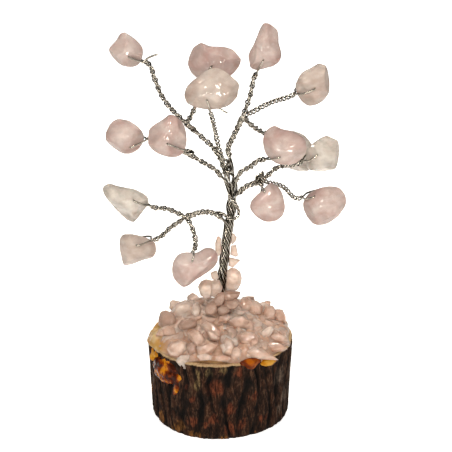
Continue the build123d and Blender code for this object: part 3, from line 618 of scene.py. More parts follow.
# %% Legs of a loop
SWINGS = [math.radians(turn) for turn in (-12, -8, -4, 0, 4, 8, 12)]
REACHES = [0.25 * MM * step for step in range(80)]
RAY_START = 20 * MM
LEG_SHARES = (0.06, 0.25, 0.5, 0.7, 0.88)
LEG_WINDOW = 1.0 * MM
LEG_LIFT = 0.75 * LOOP_WIRE
SADDLE_LIFT = 0.9 * MM
TWIST_GAP = 0.8 * MM


def skin_height(name, reach, leave, side):
    """How far a stone's skin stands off the plane through its hole, on one side, at a reach."""
    hole, _, _, face = stone_frames[name]
    start = hole + leave * reach + face * side * RAY_START
    hit = stone_trees[name].ray_cast(start, -face * side)
    return (hit[0] - hole).dot(face) * side if hit[0] is not None else None


def loop_legs(name, leave):
    """The two legs' routes, clear of the stone as it swings, and how far the stone reaches under them."""
    hole, _, _, face = stone_frames[name]
    across = face.cross(leave)
    ways = [leave * math.cos(turn) + across * math.sin(turn) for turn in SWINGS]
    rim = max(reach for reach in REACHES for way in ways if skin_height(name, reach, way, 1) is not None)
    legs = []
    for side in (1, -1):
        heights = [(reach, skin_height(name, reach, way, side))
                   for reach in REACHES for way in ways if reach <= rim]
        points = [hole]
        for share in LEG_SHARES:
            reach = share * rim
            window = [height for at, height in heights if height is not None and abs(at - reach) < LEG_WINDOW]
            points.append(hole + leave * reach + face * side * (max(window) + LEG_LIFT))
        points.append(hole + leave * (rim + 0.35 * TWIST_GAP) + face * side * SADDLE_LIFT)
        points.append(hole + leave * (rim + TWIST_GAP) + face * side * TWIG_OFFSET)
        legs.append(points)
    return legs, rim


print("angles of swing tried:", len(SWINGS))

# %% Twigs and their loops
NECK = 1.7 * MM
PAST_FORK = 3.0 * MM
PAST_HINGE = 4.0 * MM

for name, (bough, bearing, via_shares) in TWIGS.items():
    hole, right, up, face = stone_frames[name]
    angle = math.radians(bearing)
    leave = right * math.cos(angle) + up * math.sin(angle)
    legs, rim = loop_legs(name, leave)
    vias = [sized(shares) for shares in via_shares]
    hinge = joint_place(f"twig_{name}_bend")
    if bough:
        fork = sized(BOUGHS[bough][0])
        tail = [fork, towards(fork, sized(BOUGHS[bough][1][-1]), PAST_FORK)]
    else:
        tail = [towards(hinge, sized(SINGLE_TWIGS[name]), PAST_HINGE)]
    stem = [hole + leave * (rim + TWIST_GAP), hole + leave * (rim + TWIST_GAP + NECK), *vias, hinge, *tail]
    parts = [wires_along(stem, COILED if name in COILED_TWIGS else PAIRED, face)]
    for points, side in zip(legs, (1, -1)):
        parts.append(wires_along(points, LOOP, face * side))
    if name in CUT_ENDS:
        parts.append(wires_along([Vector(point) * MM for point in CUT_ENDS[name]], CUT_END, face))
    piece = mesh_object(f"twig_wires_{name}", joined(parts, f"twig_wires_{name}"), silver_wire)
    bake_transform(piece)
    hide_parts(f"twig_{name}")
print("twigs:", len(TWIGS))

# %% [markdown]
# ## Boughs
# A bough is the pairs of its twigs twisted together once more. It bends at its root, so its wires
# start a little way down the trunk's strand and blend over the joint. At the lower right fork the
# end of the wire is wound into a lump.

# %% Boughs
BOUGH_LAY = {**ROPE, "Pair pitch": 6.6 * MM, "Wire pitch": 3.1 * MM}
TWO_PAIRS_OFFSET = 0.38 * MM
MORE_PAIRS_OFFSET = 0.48 * MM
BELOW_ROOT = 2.5 * MM
OVER_FORK = 0.2 * MM
LUMPS = {
    "lower_right": tuple(
        (12.9 + 0.9 * math.cos(0.5 * step), -0.8 + 0.8 * math.sin(0.5 * step), 82.9 + 0.08 * step)
        for step in range(42)),
}
for name, (fork_share, via_shares, strand_via) in BOUGHS.items():
    pairs = sum(1 for carrier, _, _ in TWIGS.values() if carrier == name)
    offset = TWO_PAIRS_OFFSET if pairs == 2 else MORE_PAIRS_OFFSET
    root = joint_place(f"bough_{name}_bend")
    fork = sized(fork_share)
    vias = [sized(shares) for shares in via_shares]
    below = towards(root, sized(strand_via[0]), BELOW_ROOT)
    over = fork + (fork - vias[-1]).normalized() * OVER_FORK
    route = [below, root, *vias, fork, over]
    parts = [wires_along(route, {**BOUGH_LAY, "Pairs": pairs, "Pair offset": offset}, FRONT)]
    if name in LUMPS:
        parts.append(wires_along([Vector(point) * MM for point in LUMPS[name]], ROPE, FRONT))
    piece = mesh_object(f"bough_wires_{name}", joined(parts, f"bough_wires_{name}"), silver_wire)
    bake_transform(piece)
    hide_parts(f"bough_{name}")
print("boughs:", len(BOUGHS))

# %% [markdown]
# ## Trunk
# Seven strands of four wires each climb the trunk, six coiled round one, and leave it one by one for
# the boughs. The coil's route follows a formula, so it is worked out point by point. Two of them have
# a turn of their wire round the trunk, one where the lower left bough leaves, one under the crown.

# %% Routes of the trunk's strands
TRUNK_LINE = (
    (0.0, 0.1185), (0.018, 0.2067), (0.045, 0.3), (0.072, 0.3767), (0.09, 0.42), (0.098, 0.4648),
    (0.105, 0.4963))
COIL_RADIUS = 1.12
COIL_PITCH = 20.0
COIL_LEVEL = height_at(0.4535)
STRANDS = {
    "lower_left": (90, 0.3729, ((0.02, -0.19, 0.3987),), "bough_lower_left_bend"),
    "lower_right": (330, 0.4585, ((0.148, -0.13, 0.4793),), "bough_lower_right_bend"),
    "middle_left": (270, 0.4774, ((0.04, -0.13, 0.5183),), "bough_middle_left_bend"),
    "trunk_right": (30, 0.4862, ((0.133, -0.17, 0.524),), "twig_middle_right_inner_bend"),
    "crown_left": (210, 0.4774, ((0.04, 0.06, 0.5278), (0.01, 0.11, 0.5744)), "bough_crown_left_bend"),
    "crown_right": (150, 0.4774, ((0.108, 0.11, 0.5278), (0.085, 0.07, 0.5744)), "bough_crown_right_bend"),
    "trunk_top": (None, 0.4774, ((0.073, -0.02, 0.5234), (0.04, -0.08, 0.5656)), "twig_top_front_bend"),
}
TURNS = {
    "lower_left": (
        (2.9, -1.3, 79.0), (4.9, -1.5, 76.5), (6.0, -0.8, 74.0), (6.0, -1.3, 72.2), (4.4, -2.5, 71.3),
        (2.6, -2.6, 71.9), (0.9, -1.9, 72.8), (-1.2, -1.4, 73.2)),
    "trunk_top": tuple(
        (3.0 - 0.12 * step + 1.4 * math.cos(0.9 * step), 1.3 * math.sin(0.9 * step), 85.4 + 0.34 * step)
        for step in range(20)),
}


def trunk_middle(z):
    share = (z - LOG_TOP) / (TREE_TOP - LOG_TOP)
    x_share = TRUNK_LINE[0][0]
    for (x_low, low), (x_high, high) in zip(TRUNK_LINE, TRUNK_LINE[1:]):
        if share > low:
            x_share = x_low + (x_high - x_low) * min(1.0, (share - low) / (high - low))
    return Vector((CROWN_HALF_WIDTH * x_share, 0, z)) * MM


print("strands in the table:", len(STRANDS))

# %% Trunk strands
STRAND_FOOT = 21.0
STRAND_STEP = 2.0
# Painted shade: the trunk's wires are darkened strongly where they face into the trunk.
STRAND_LAY = {
    "Pairs": 2, "Pair offset": 0.26 * MM, "Pair pitch": 18.0 * MM, "Wire pitch": 14.0 * MM,
    "Wire diameter": 0.46 * MM, "Wire offset": 0.24 * MM, "Looseness": 0.2, "Painted shade": 1.7}
TURN_LAY = {**ROPE, "Wires": 3, "Wire offset": 0.26 * MM, "Wire pitch": 5.0 * MM}

for name, (slot, leave_share, via_shares, ends_at) in STRANDS.items():
    top = height_at(leave_share)
    count = math.ceil((top - STRAND_FOOT) / STRAND_STEP)
    route = []
    for i in range(count + 1):
        z = STRAND_FOOT + (top - STRAND_FOOT) * i / count
        point = trunk_middle(z)
        if slot is not None:
            turned = math.radians(slot - 360 * (z - COIL_LEVEL) / COIL_PITCH)
            point += Vector((math.cos(turned), math.sin(turned), 0)) * COIL_RADIUS * MM
        route.append(point)
    route += [sized(shares) for shares in via_shares] + [joint_place(ends_at)]
    parts = [wires_along(route, STRAND_LAY, FRONT)]
    if name in TURNS:
        parts.append(wires_along([Vector(point) * MM for point in TURNS[name]], TURN_LAY, FRONT))
    piece = mesh_object(f"trunk_wires_{name}", joined(parts, f"trunk_wires_{name}"), silver_wire)
    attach(piece, "base")
    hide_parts(f"trunk_strand_{name}")
print("trunk strands:", len(STRANDS))

# %% [markdown]
# ## The log's bark
# Bark splits into upright plates as the tree grows. The CAD solid has the plates with the furrows
# between them, so a fine grid is wrapped round it by shooting rays at its axis. Stretched noise then
# adds what is too fine for the solid: cracks on the plates, where one noise crosses zero, and a rough
# skin. How deep each point lies is kept as an attribute, so that the finish can paint shade into the
# furrows and cracks.

# %% Outline of the log, and noise on it
LOG_RADIUS = 25.0
FOOT_SCALE = 0.96
BARK_THICKNESS = 3.0
WANDER_MM = 0.7
WANDER_WAVES = ((2, 0.5, 40.0), (3, 0.3, 155.0), (5, 0.2, 250.0))


def wander(angle):
    """The log's slow departure from round, in mm, as in the CAD solid."""
    return WANDER_MM * sum(
        share * math.sin(turns * angle + math.radians(phase)) for turns, share, phase in WANDER_WAVES)


def rim_radius(angle, z):
    """Radius of the log's outline, without its furrows."""
    return (LOG_RADIUS + wander(angle)) * (FOOT_SCALE + (1 - FOOT_SCALE) * z / LOG_TOP)


def stretched(angle, z, wide, tall, seed):
    """Noise on the bark's surface, wide and tall in mm."""
    at = Vector((math.cos(angle) * LOG_RADIUS / wide, math.sin(angle) * LOG_RADIUS / wide, z / tall + seed))
    return noise.noise(at)

def zero_line(value, width):
    """1 where a noise crosses zero, falling to 0 over a width."""
    return max(0.0, 1.0 - abs(value) / width)


print("log radius in front in mm:", round(rim_radius(math.radians(270), LOG_TOP), 2))

# %% Bark grid
FURROW = 1.1
CRACK = 0.3
BARK_COLUMNS = 640
BARK_ROWS = 92
RAY_FROM = 50 * MM
AIM_INSIDE = 0.02
bark_solid = clean_copy("log_bark")
bark_rays = ray_target(bark_solid)
bpy.data.meshes.remove(bark_solid)
bark_points, bark_depths = [], []
for row in range(BARK_ROWS):
    z = LOG_TOP * row / (BARK_ROWS - 1)
    aimed = min(max(z, AIM_INSIDE), LOG_TOP - AIM_INSIDE)
    worn = 0.5 * max(0.0, 1 - z / 1.4) ** 2 + 0.35 * max(0.0, 1 - (LOG_TOP - z) / 0.8) ** 2
    for column in range(BARK_COLUMNS):
        angle = 2 * math.pi * column / BARK_COLUMNS
        outward = Vector((math.cos(angle), math.sin(angle), 0))
        hit = bark_rays.ray_cast(outward * RAY_FROM + Vector((0, 0, aimed * MM)), -outward)[0]
        furrow = (rim_radius(angle, z) - hit.xy.length / MM) / FURROW
        filled = 0.75 * furrow * FURROW * max(0.0, 1 - z / 3.2, 1 - (LOG_TOP - z) / 1.6) ** 2
        bent = angle + 0.05 * stretched(angle, z, 6.0, 9.0, 11.0)
        split = zero_line(stretched(bent, z, 1.25, 8.0, 27.0), 0.12)
        across = zero_line(stretched(bent, z, 2.4, 2.2, 41.0), 0.05) * 0.5
        rough = 0.5 * stretched(angle, z, 0.7, 1.3, 63.0) + 0.5 * stretched(angle, z, 2.2, 7.0, 71.0)
        crack = min(1.0, max(0.0, max(split, across) + 0.7 * rough))
        radius = hit.xy.length / MM + filled - CRACK * crack - worn
        bark_points.append(outward * radius * MM + Vector((0, 0, z * MM)))
        # How deep a point lies in a furrow or crack; the finish paints shade by it.
        bark_depths.append(min(1.0, 0.8 * max(0.0, furrow) + 0.55 * crack))
print("bark points on the outside:", len(bark_points))

# %% Bark mesh, closed by its inner wall
INNER_DEPTH = 0.2
first_inner = len(bark_points)
for z in (LOG_TOP, 0.0):
    for column in range(BARK_COLUMNS):
        angle = 2 * math.pi * column / BARK_COLUMNS
        radius = (LOG_RADIUS - BARK_THICKNESS + wander(angle)) * (1.0 if z else FOOT_SCALE)
        bark_points.append(Vector((radius * math.cos(angle), radius * math.sin(angle), z)) * MM)
        bark_depths.append(INNER_DEPTH)
rings = [row * BARK_COLUMNS for row in range(BARK_ROWS)] + [first_inner, first_inner + BARK_COLUMNS, 0]
bark_faces = []
for low, high in zip(rings, rings[1:]):
    for column in range(BARK_COLUMNS):
        after = (column + 1) % BARK_COLUMNS
        bark_faces.append((low + column, low + after, high + after, high + column))
bark_mesh = bpy.data.meshes.new("furrowed_bark")
bark_mesh.from_pydata(bark_points, [], bark_faces)
bark_mesh.attributes.new("furrow", "FLOAT", "POINT").data.foreach_set("value", bark_depths)
smooth(bark_mesh)
print("bark faces:", len(bark_mesh.polygons))

# %% [markdown]
# Bark is matte (roughness 0.9) and dark brown to ash brown on the plates; shade is painted into its
# furrows and cracks, nearly black where they are deepest.
# Where a plate flaked off, the rust-red inner bark shows, and at the foot on the left the saw tore it
# Where a plate flaked off, the rust-red inner bark shows, and at the foot on the left the saw tore it
# down to tan wood. The flaked places are spots round points on the surface, with ragged noise edges.
# Each spot is its place in mm, its reach and its colour.

# %% Flaked places
RUST, LICHEN, TAN, GREY, SOOT = "#80452c", "#8b7a56", "#a9763c", "#84766b", "#120c0a"
FLAKED = (
    ((2.9, -24.7, 22.8), 3.6, SOOT), ((-11.1, -21.9, 13.5), 3.2, SOOT), ((-5.0, -23.9, 16.0), 3.0, SOOT),
    ((1.5, -24.6, 14.5), 2.8, SOOT), ((-14.6, -19.6, 8.8), 2.6, SOOT), ((9.6, -22.6, 20.0), 2.4, SOOT),
    ((-2.0, -24.6, 20.0), 3.6, RUST), ((6.1, -24.2, 25.0), 1.9, RUST), ((3.8, -24.1, 11.5), 2.4, RUST),
    ((-2.1, -24.2, 7.7), 2.0, RUST), ((7.3, -23.0, 4.6), 2.6, RUST), ((3.2, -23.9, 3.7), 2.4, RUST),
    ((-9.3, -22.4, 6.2), 2.0, RUST), ((-5.4, -23.6, 6.0), 1.6, RUST), ((14.4, -19.4, 5.6), 1.7, RUST),
    ((11.5, -21.6, 14.9), 1.7, RUST), ((-11.3, -22.0, 18.5), 1.4, RUST), ((-9.9, -22.3, 14.5), 1.3, RUST),
    ((-7.6, -23.5, 20.8), 1.9, LICHEN), ((-7.8, -23.7, 24.6), 1.6, LICHEN), ((-4.0, -24.6, 25.1), 2.0, LICHEN),
    ((0.5, -24.9, 26.2), 1.8, LICHEN), ((-14.0, -19.6, 2.6), 2.9, TAN), ((-8.5, -22.4, 0.8), 2.2, TAN),
    ((-20.6, -12.6, 3.1), 2.4, TAN), ((-24.0, -4.0, 9.0), 2.4, TAN), ((1.6, -23.9, 0.3), 1.7, TAN),
    ((11.4, -21.2, 1.2), 1.7, TAN), ((20.5, -13.7, 19.2), 3.4, GREY), ((21.9, -10.6, 9.8), 3.0, GREY),
    ((20.1, -13.4, 5.6), 2.4, GREY), ((23.8, -6.5, 17.3), 3.0, GREY), ((-23.4, -8.0, 15.5), 2.6, GREY),
)
print("flaked places:", len(FLAKED))

# %% Bark finish: plates, painted shade in the furrows, and specks
bark_finish, tree = new_finish("furrowed_bark")
place = node(tree, "ShaderNodeTexCoord").outputs["Object"]
depth = node(tree, "ShaderNodeAttribute", attribute_name="furrow").outputs["Fac"]
upright = node(tree, "ShaderNodeMapping", {"Vector": place, "Scale": (1.0, 1.0, 0.28)})
patches = node(tree, "ShaderNodeTexNoise", {
    "Vector": upright, "Scale": 1000 / 3.2, "Detail": 6.0, "Roughness": 0.6})
grain = node(tree, "ShaderNodeTexNoise", {
    "Vector": upright, "Scale": 1000 / 0.6, "Detail": 4.0, "Roughness": 0.7})
plate = node(tree, "ShaderNodeValToRGB", [patches], [
    (0.34, "#1a100a"), (0.46, "#301c12"), (0.56, "#412514"), (0.66, "#4c3a2d")])
speck = node(tree, "ShaderNodeValToRGB", [grain], [(0.40, "#0c0604"), (0.50, "#301f15"), (0.62, "#7c6452")])
plate = node(tree, "ShaderNodeMix", {0: 0.42, 6: plate, 7: speck}, **MIXED)
# Painted shade: the colour is multiplied darker, to nearly black, the deeper a point lies in its furrow or
# crack.
shade = node(tree, "ShaderNodeValToRGB", [depth], [(0.1, "#ddd0c6"), (0.4, "#80746d"), (0.85, "#221915")])
bark_colour = node(tree, "ShaderNodeMix", {0: 1.0, 6: plate, 7: shade}, **MULTIPLIED)
print("bark finish nodes so far:", len(tree.nodes))

# %% Bark finish: flaked spots, the sawn edge and the fibres
worn_grain = node(tree, "ShaderNodeValToRGB", [grain], [(0.38, "#4a4038"), (0.56, "#ffffff")])
ragged = node(tree, "ShaderNodeTexNoise", {"Vector": upright, "Scale": 1000 / 1.6, "Detail": 4.0})
ragged = node(tree, "ShaderNodeMath SUBTRACT", [ragged, 0.5])
ragged = node(tree, "ShaderNodeMath MULTIPLY", [ragged, 7.0 * MM])
for spot, reach, hue in FLAKED:
    away = node(tree, "ShaderNodeVectorMath DISTANCE", [place, [c * MM for c in spot]])
    torn = node(tree, "ShaderNodeMath ADD", [away, ragged])
    share = node(tree, "ShaderNodeMapRange", {
        "Value": torn, "From Min": reach * MM, "From Max": 0.5 * reach * MM, "To Max": 0.7})
    # The flaked spots take the same painted shade in their furrows.
    bared = node(tree, "ShaderNodeMix", {0: 0.8, 6: linear(hue), 7: shade}, **MULTIPLIED)
    bared = node(tree, "ShaderNodeMix", {0: 0.85, 6: bared, 7: worn_grain}, **MULTIPLIED)
    bark_colour = node(tree, "ShaderNodeMix", {0: share, 6: bark_colour, 7: bared}, **MIXED)
height = node(tree, "ShaderNodeSeparateXYZ", [place]).outputs["Z"]
sawn = node(tree, "ShaderNodeMapRange", {"Value": height, "From Min": 27.6 * MM, "From Max": 27.97 * MM})
bare = node(tree, "ShaderNodeValToRGB", [grain], [(0.3, "#9a7a56"), (0.7, "#d6bb94")])
bark_colour = node(tree, "ShaderNodeMix", {0: sawn, 6: bark_colour, 7: bare}, **MIXED)
fibre = node(tree, "ShaderNodeBump", {"Height": grain, "Strength": 0.7, "Distance": 0.3 * MM})
shader = node(tree, "ShaderNodeBsdfPrincipled", {
    "Base Color": bark_colour, "Roughness": 0.9, "Specular IOR Level": 0.2, "Normal": fibre})
node(tree, "ShaderNodeOutputMaterial", {"Surface": shader})

bark = mesh_object("furrowed_bark", bark_mesh, bark_finish)
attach(bark, "base")
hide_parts("log_bark")
print("bark finish nodes:", len(tree.nodes))

# %% [markdown]
# ## Sawn wood
# Inside the bark the slice is pale sapwood, sawn and left rough. Only a thin edge of it shows between
# the chips and the bark, and its foot. The CAD solid's shape is right, so it only gets a finish: year
# rings about 1.6 mm apart round the heart, bent by noise, and fine saw marks across.

# %% Wood finish on the CAD node
wood_finish, tree = new_finish("sawn_sapwood")
place = node(tree, "ShaderNodeTexCoord").outputs["Object"]
flat = node(tree, "ShaderNodeMapping", {"Vector": place, "Scale": (1.0, 1.0, 0.0)})
bend = node(tree, "ShaderNodeTexNoise", {"Vector": flat, "Scale": 1000 / 12.0, "Detail": 3.0})
year = node(tree, "ShaderNodeTexWave", {
    "Vector": flat, "Scale": 1000 / 1.6 / 20, "Distortion": 1.6, "Detail": 3.0, "Detail Scale": 2.0},
    wave_type="RINGS", rings_direction="Z").outputs["Fac"]
saw = node(tree, "ShaderNodeTexWave", {
    "Vector": place, "Scale": 1000 / 0.9 / 20, "Distortion": 3.0}, bands_direction="X").outputs["Fac"]
ringed = node(tree, "ShaderNodeValToRGB", [year], [(0.2, "#bf9a6a"), (0.6, "#cfb189"), (0.9, "#a98152")])
aged = node(tree, "ShaderNodeValToRGB", [bend], [(0.35, "#b98f5c"), (0.65, "#dcc29a")])
wood_colour = node(tree, "ShaderNodeMix", {0: 0.45, 6: ringed, 7: aged}, **MIXED)
cut = node(tree, "ShaderNodeBump", {"Height": saw, "Strength": 0.4, "Distance": 0.1 * MM})
shader = node(tree, "ShaderNodeBsdfPrincipled", {"Base Color": wood_colour, "Roughness": 0.7, "Normal": cut})
node(tree, "ShaderNodeOutputMaterial", {"Surface": shader})
wood = frame["nodes"]["log_wood"]
wood.data.materials.clear()
wood.data.materials.append(wood_finish)
print("wood finish nodes:", len(tree.nodes))

# %% [markdown]
# ## Glue bed
# Clear glue was poured on the sawn top and the chips were pressed into it while it was wet. It is
# glossy, tinted by the stone under it, and honey-coloured where it ran out thick on the left. The mesh
# is a polar grid that rises steeply at the rim and then slowly to the trunk, with lumps where chips
# push it up.

# %% The heap's height and edge
GLUE_PROFILE = (
    (0.0, 11.5), (4.0, 10.6), (8.0, 8.6), (13.5, 6.0), (19.0, 4.0), (22.0, 2.8), (23.4, 1.5), (24.2, 0.3))
HEAP_RADIUS = 23.7


def dome_height(radius):
    """Height of the heap over the log's top, in mm."""
    for (r_low, low), (r_high, high) in zip(GLUE_PROFILE, GLUE_PROFILE[1:]):
        if radius <= r_high:
            return low + (high - low) * (radius - r_low) / (r_high - r_low)
    return GLUE_PROFILE[-1][1]

def bump_at(bearing, middle, width):
    """1 at a bearing in degrees, falling to 0 on both sides of it."""
    return math.exp(-((bearing - middle) / width) ** 2)


def heap_edge(angle, swing, bare):
    """How far out the heap reaches, in mm: to the rim on the left, right and back, less far in front."""
    ragged = noise.noise(Vector((math.cos(angle) * 4.6, math.sin(angle) * 4.6, 5.0)))
    bearing = math.degrees(angle) % 360
    bare_front = bare * bump_at(bearing, 263, 15)
    run_left = 1.3 * bump_at(bearing, 196, 20)
    return HEAP_RADIUS + wander(angle) + swing * ragged - bare_front + run_left


print("glue bed's height at the trunk in mm:", dome_height(0.0))

# %% The heap's surface
GLUE_COLUMNS = 220
GLUE_ROWS = 70
FADE_ROWS = 4
OVER_WOOD = 0.05


def polar_bed(name, lift, lump, swing, bare, inset):
    """The heap's upper surface out to its ragged edge, closed underneath."""
    points, faces = [(0, 0, (LOG_TOP + dome_height(0) + lift) * MM)], []
    for row in range(1, GLUE_ROWS + 1):
        for column in range(GLUE_COLUMNS):
            angle = 2 * math.pi * column / GLUE_COLUMNS
            radius = (heap_edge(angle, swing, bare) - inset) * row / GLUE_ROWS
            x, y = radius * math.cos(angle), radius * math.sin(angle)
            lumps = noise.noise(Vector((x, y, 0)) / 2.4) + 0.45 * noise.noise(Vector((x, y, 4)) / 1.1)
            fade = min(1.0, (GLUE_ROWS - row) / FADE_ROWS)
            height = (dome_height(GLUE_PROFILE[-1][0] * row / GLUE_ROWS) + lift + lump * lumps) * fade
            points.append((x * MM, y * MM, (LOG_TOP + OVER_WOOD + max(0.0, height)) * MM))
    for column in range(GLUE_COLUMNS):
        faces.append((0, 1 + column, 1 + (column + 1) % GLUE_COLUMNS))
    for row in range(GLUE_ROWS - 1):
        for column in range(GLUE_COLUMNS):
            here, after = 1 + row * GLUE_COLUMNS, (column + 1) % GLUE_COLUMNS
            out = here + GLUE_COLUMNS
            faces.append((here + column, out + column, out + after, here + after))
    rim = 1 + (GLUE_ROWS - 1) * GLUE_COLUMNS
    centre = len(points)
    points.append((0, 0, LOG_TOP * MM))
    for column in range(GLUE_COLUMNS):
        faces.append((centre, rim + (column + 1) % GLUE_COLUMNS, rim + column))
    mesh = bpy.data.meshes.new(name)
    mesh.from_pydata(points, [], faces)
    smooth(mesh)
    return mesh


print("points of the surface:", 1 + GLUE_ROWS * GLUE_COLUMNS)

# %% Clear glue
glue_finish, tree = new_finish("clear_glue_cured")
place = node(tree, "ShaderNodeTexCoord").outputs["Object"]
murk = node(tree, "ShaderNodeTexNoise", {"Vector": place, "Scale": 1000 / 5.0, "Detail": 4.0})
glue_colour = node(tree, "ShaderNodeValToRGB", [murk], [
    (0.35, "#c49d86"), (0.5, "#d3ae98"), (0.66, "#e4c7b3")])
ragged = node(tree, "ShaderNodeMath MULTIPLY", [node(tree, "ShaderNodeMath SUBTRACT", [murk, 0.5]), 10 * MM])
leftness = node(tree, "ShaderNodeMath ADD", [
    node(tree, "ShaderNodeSeparateXYZ", [place]).outputs["X"], ragged])
amber_share = node(tree, "ShaderNodeMapRange", {
    "Value": leftness, "From Min": -18.0 * MM, "From Max": -21.0 * MM})
honey = node(tree, "ShaderNodeValToRGB", [murk], [(0.36, "#c08534"), (0.48, "#d2a660"), (0.6, "#e3c794")])
glue_colour = node(tree, "ShaderNodeMix", {0: amber_share, 6: glue_colour, 7: honey}, **MIXED)
shader = node(tree, "ShaderNodeBsdfPrincipled", {
    "Base Color": glue_colour, "Roughness": 0.06, "IOR": 1.5, "Transmission Weight": 0.25,
    "Subsurface Weight": 0.4, "Subsurface Radius": (1.0, 0.7, 0.5), "Subsurface Scale": 2.0 * MM})
node(tree, "ShaderNodeOutputMaterial", {"Surface": shader})
glue = mesh_object("glue_pool", polar_bed("glue_pool", 0.4, 1.1, 0.7, 3.0, 0.0), glue_finish)
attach(glue, "base")
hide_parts("glue_bed")
print("glue faces:", len(glue.data.polygons))

# %% [markdown]
# ## Chips
# The heap is quartz gravel: shards 5 to 10 mm long with flat broken faces and tumbled edges, lying on
# and between one another and pointing outwards at the rim. A few shard shapes are made as convex hulls
# of random points with their edges softened; Geometry Nodes scatter them on the heap's surface, point
# their long side outwards, tip each one by its own random angles and keep the ones in one ring zone.

# %% Shard shapes
SHARD_KINDS = 9
HULL_ANGLE = math.radians(16)
SHARD_WEAR = 0.28
shards = bpy.data.collections.new("shard_kinds")
dice = random.Random(4)


def worn_hull(work, name, wear):
    """The convex hull of the points in a bmesh, with edges worn by so many mm."""
    bmesh.ops.convex_hull(work, input=work.verts)
    for vertex in [v for v in work.verts if not v.link_faces]:
        work.verts.remove(vertex)
    bmesh.ops.dissolve_limit(work, angle_limit=HULL_ANGLE, verts=work.verts, edges=work.edges)
    bmesh.ops.bevel(
        work, geom=list(work.edges), offset=wear * MM, segments=3, profile=0.5, affect="EDGES",
        clamp_overlap=True)
    bmesh.ops.triangulate(work, faces=work.faces)
    bmesh.ops.recalc_face_normals(work, faces=work.faces)
    mesh = bpy.data.meshes.new(name)
    work.to_mesh(mesh)
    work.free()
    smooth(mesh)
    return mesh


def shard_mesh(name, half_sizes, corners, roll):
    """A convex shard with worn edges, in mm-sized half sizes along x, y, z."""
    work = bmesh.new()
    for _ in range(corners):
        direction = Vector((roll.gauss(0, 1), roll.gauss(0, 1), roll.gauss(0, 1))).normalized()
        work.verts.new([c * h * roll.uniform(0.86, 1.0) * MM for c, h in zip(direction, half_sizes)])
    return worn_hull(work, name, SHARD_WEAR * min(half_sizes))


for kind in range(SHARD_KINDS):
    half_sizes = (dice.uniform(3.6, 5.2), dice.uniform(2.2, 3.2), dice.uniform(1.4, 2.0))
    shards.objects.link(bpy.data.objects.new(
        f"shard_kind_{kind}", shard_mesh(f"shard_kind_{kind}", half_sizes, dice.randint(14, 20), dice)))

# %% Scatter tree: points on the heap, kept in one zone
DENSEST = 900000.0
SUNK_UNDER = (LOG_TOP + 0.6) * MM

heap_tree = bpy.data.node_groups.new("heap_of_shards", "GeometryNodeTree")
HEAP_INPUTS = tree_inputs(heap_tree, (
    ("Geometry", "Geometry", None), ("Shards", "Collection", None), ("Spacing", "Float", 3.0 * MM),
    ("Inner radius", "Float", 0.0), ("Outer radius", "Float", 30.0 * MM), ("Left end", "Float", -20.4 * MM),
    ("Least size", "Float", 0.75), ("Largest size", "Float", 1.2), ("Tip", "Float", 0.5), ("Seed", "Int", 1),
    ("Material", "Material", None),
))
t = heap_tree
given = node(t, "NodeGroupInput").outputs
spread = node(t, "GeometryNodeDistributePointsOnFaces", {
    "Mesh": given["Geometry"], "Distance Min": given["Spacing"], "Density Max": DENSEST,
    "Seed": given["Seed"]}, distribute_method="POISSON").outputs
at = node(t, "GeometryNodeInputPosition")
outwards = node(t, "ShaderNodeVectorMath MULTIPLY", [at, (1.0, 1.0, 0.0)])
radius = node(t, "ShaderNodeVectorMath LENGTH", [outwards])
place = node(t, "ShaderNodeSeparateXYZ", [at]).outputs
off_zone = node(t, "FunctionNodeBooleanMath OR", [
    node(t, "FunctionNodeCompare LESS_THAN", [radius, given["Inner radius"]], data_type="FLOAT"),
    node(t, "FunctionNodeCompare GREATER_EQUAL", [radius, given["Outer radius"]], data_type="FLOAT")])
off_top = node(t, "FunctionNodeBooleanMath OR", [
    node(t, "FunctionNodeCompare LESS_THAN", [place["Z"], SUNK_UNDER], data_type="FLOAT"),
    node(t, "FunctionNodeCompare LESS_THAN", [place["X"], given["Left end"]], data_type="FLOAT")])
unwanted = node(t, "FunctionNodeBooleanMath OR", [off_zone, off_top])
kept = node(t, "GeometryNodeDeleteGeometry", {
    "Geometry": spread["Points"], "Selection": unwanted}, domain="POINT")
print("nodes so far:", len(t.nodes))

# %% Scatter tree: shards turned outwards, tipped and sized
stand = node(t, "FunctionNodeAlignRotationToVector", {"Vector": spread["Normal"]}, axis="Z")
point_out = node(t, "FunctionNodeAlignRotationToVector", {
    "Rotation": stand, "Vector": outwards}, axis="X", pivot_axis="Z")
least = node(t, "ShaderNodeCombineXYZ", [
    node(t, "ShaderNodeMath MULTIPLY", [given["Tip"], -1.0]),
    node(t, "ShaderNodeMath MULTIPLY", [given["Tip"], -1.5]), -0.95])
most = node(t, "ShaderNodeCombineXYZ", [
    given["Tip"], node(t, "ShaderNodeMath MULTIPLY", [given["Tip"], 0.45]), 0.95])
tipped = node(t, "FunctionNodeRandomValue", {
    0: least, 1: most, "Seed": given["Seed"]}, data_type="FLOAT_VECTOR")
tip_turn = node(t, "FunctionNodeEulerToRotation", [tipped])
turned = node(t, "FunctionNodeRotateRotation", [point_out, tip_turn], rotation_space="LOCAL")
size_seed = node(t, "ShaderNodeMath ADD", [given["Seed"], 7])
grown = node(t, "FunctionNodeRandomValue", {
    2: given["Least size"], 3: given["Largest size"], "Seed": size_seed}, data_type="FLOAT")
kinds = node(t, "GeometryNodeCollectionInfo", {
    "Collection": given["Shards"], "Separate Children": True, "Reset Children": True})
placed = node(t, "GeometryNodeInstanceOnPoints", {
    "Points": kept, "Instance": kinds, "Pick Instance": True, "Rotation": turned, "Scale": grown})
end_tree(t, placed, given["Material"])
print("heap tree has", len(t.nodes), "nodes")

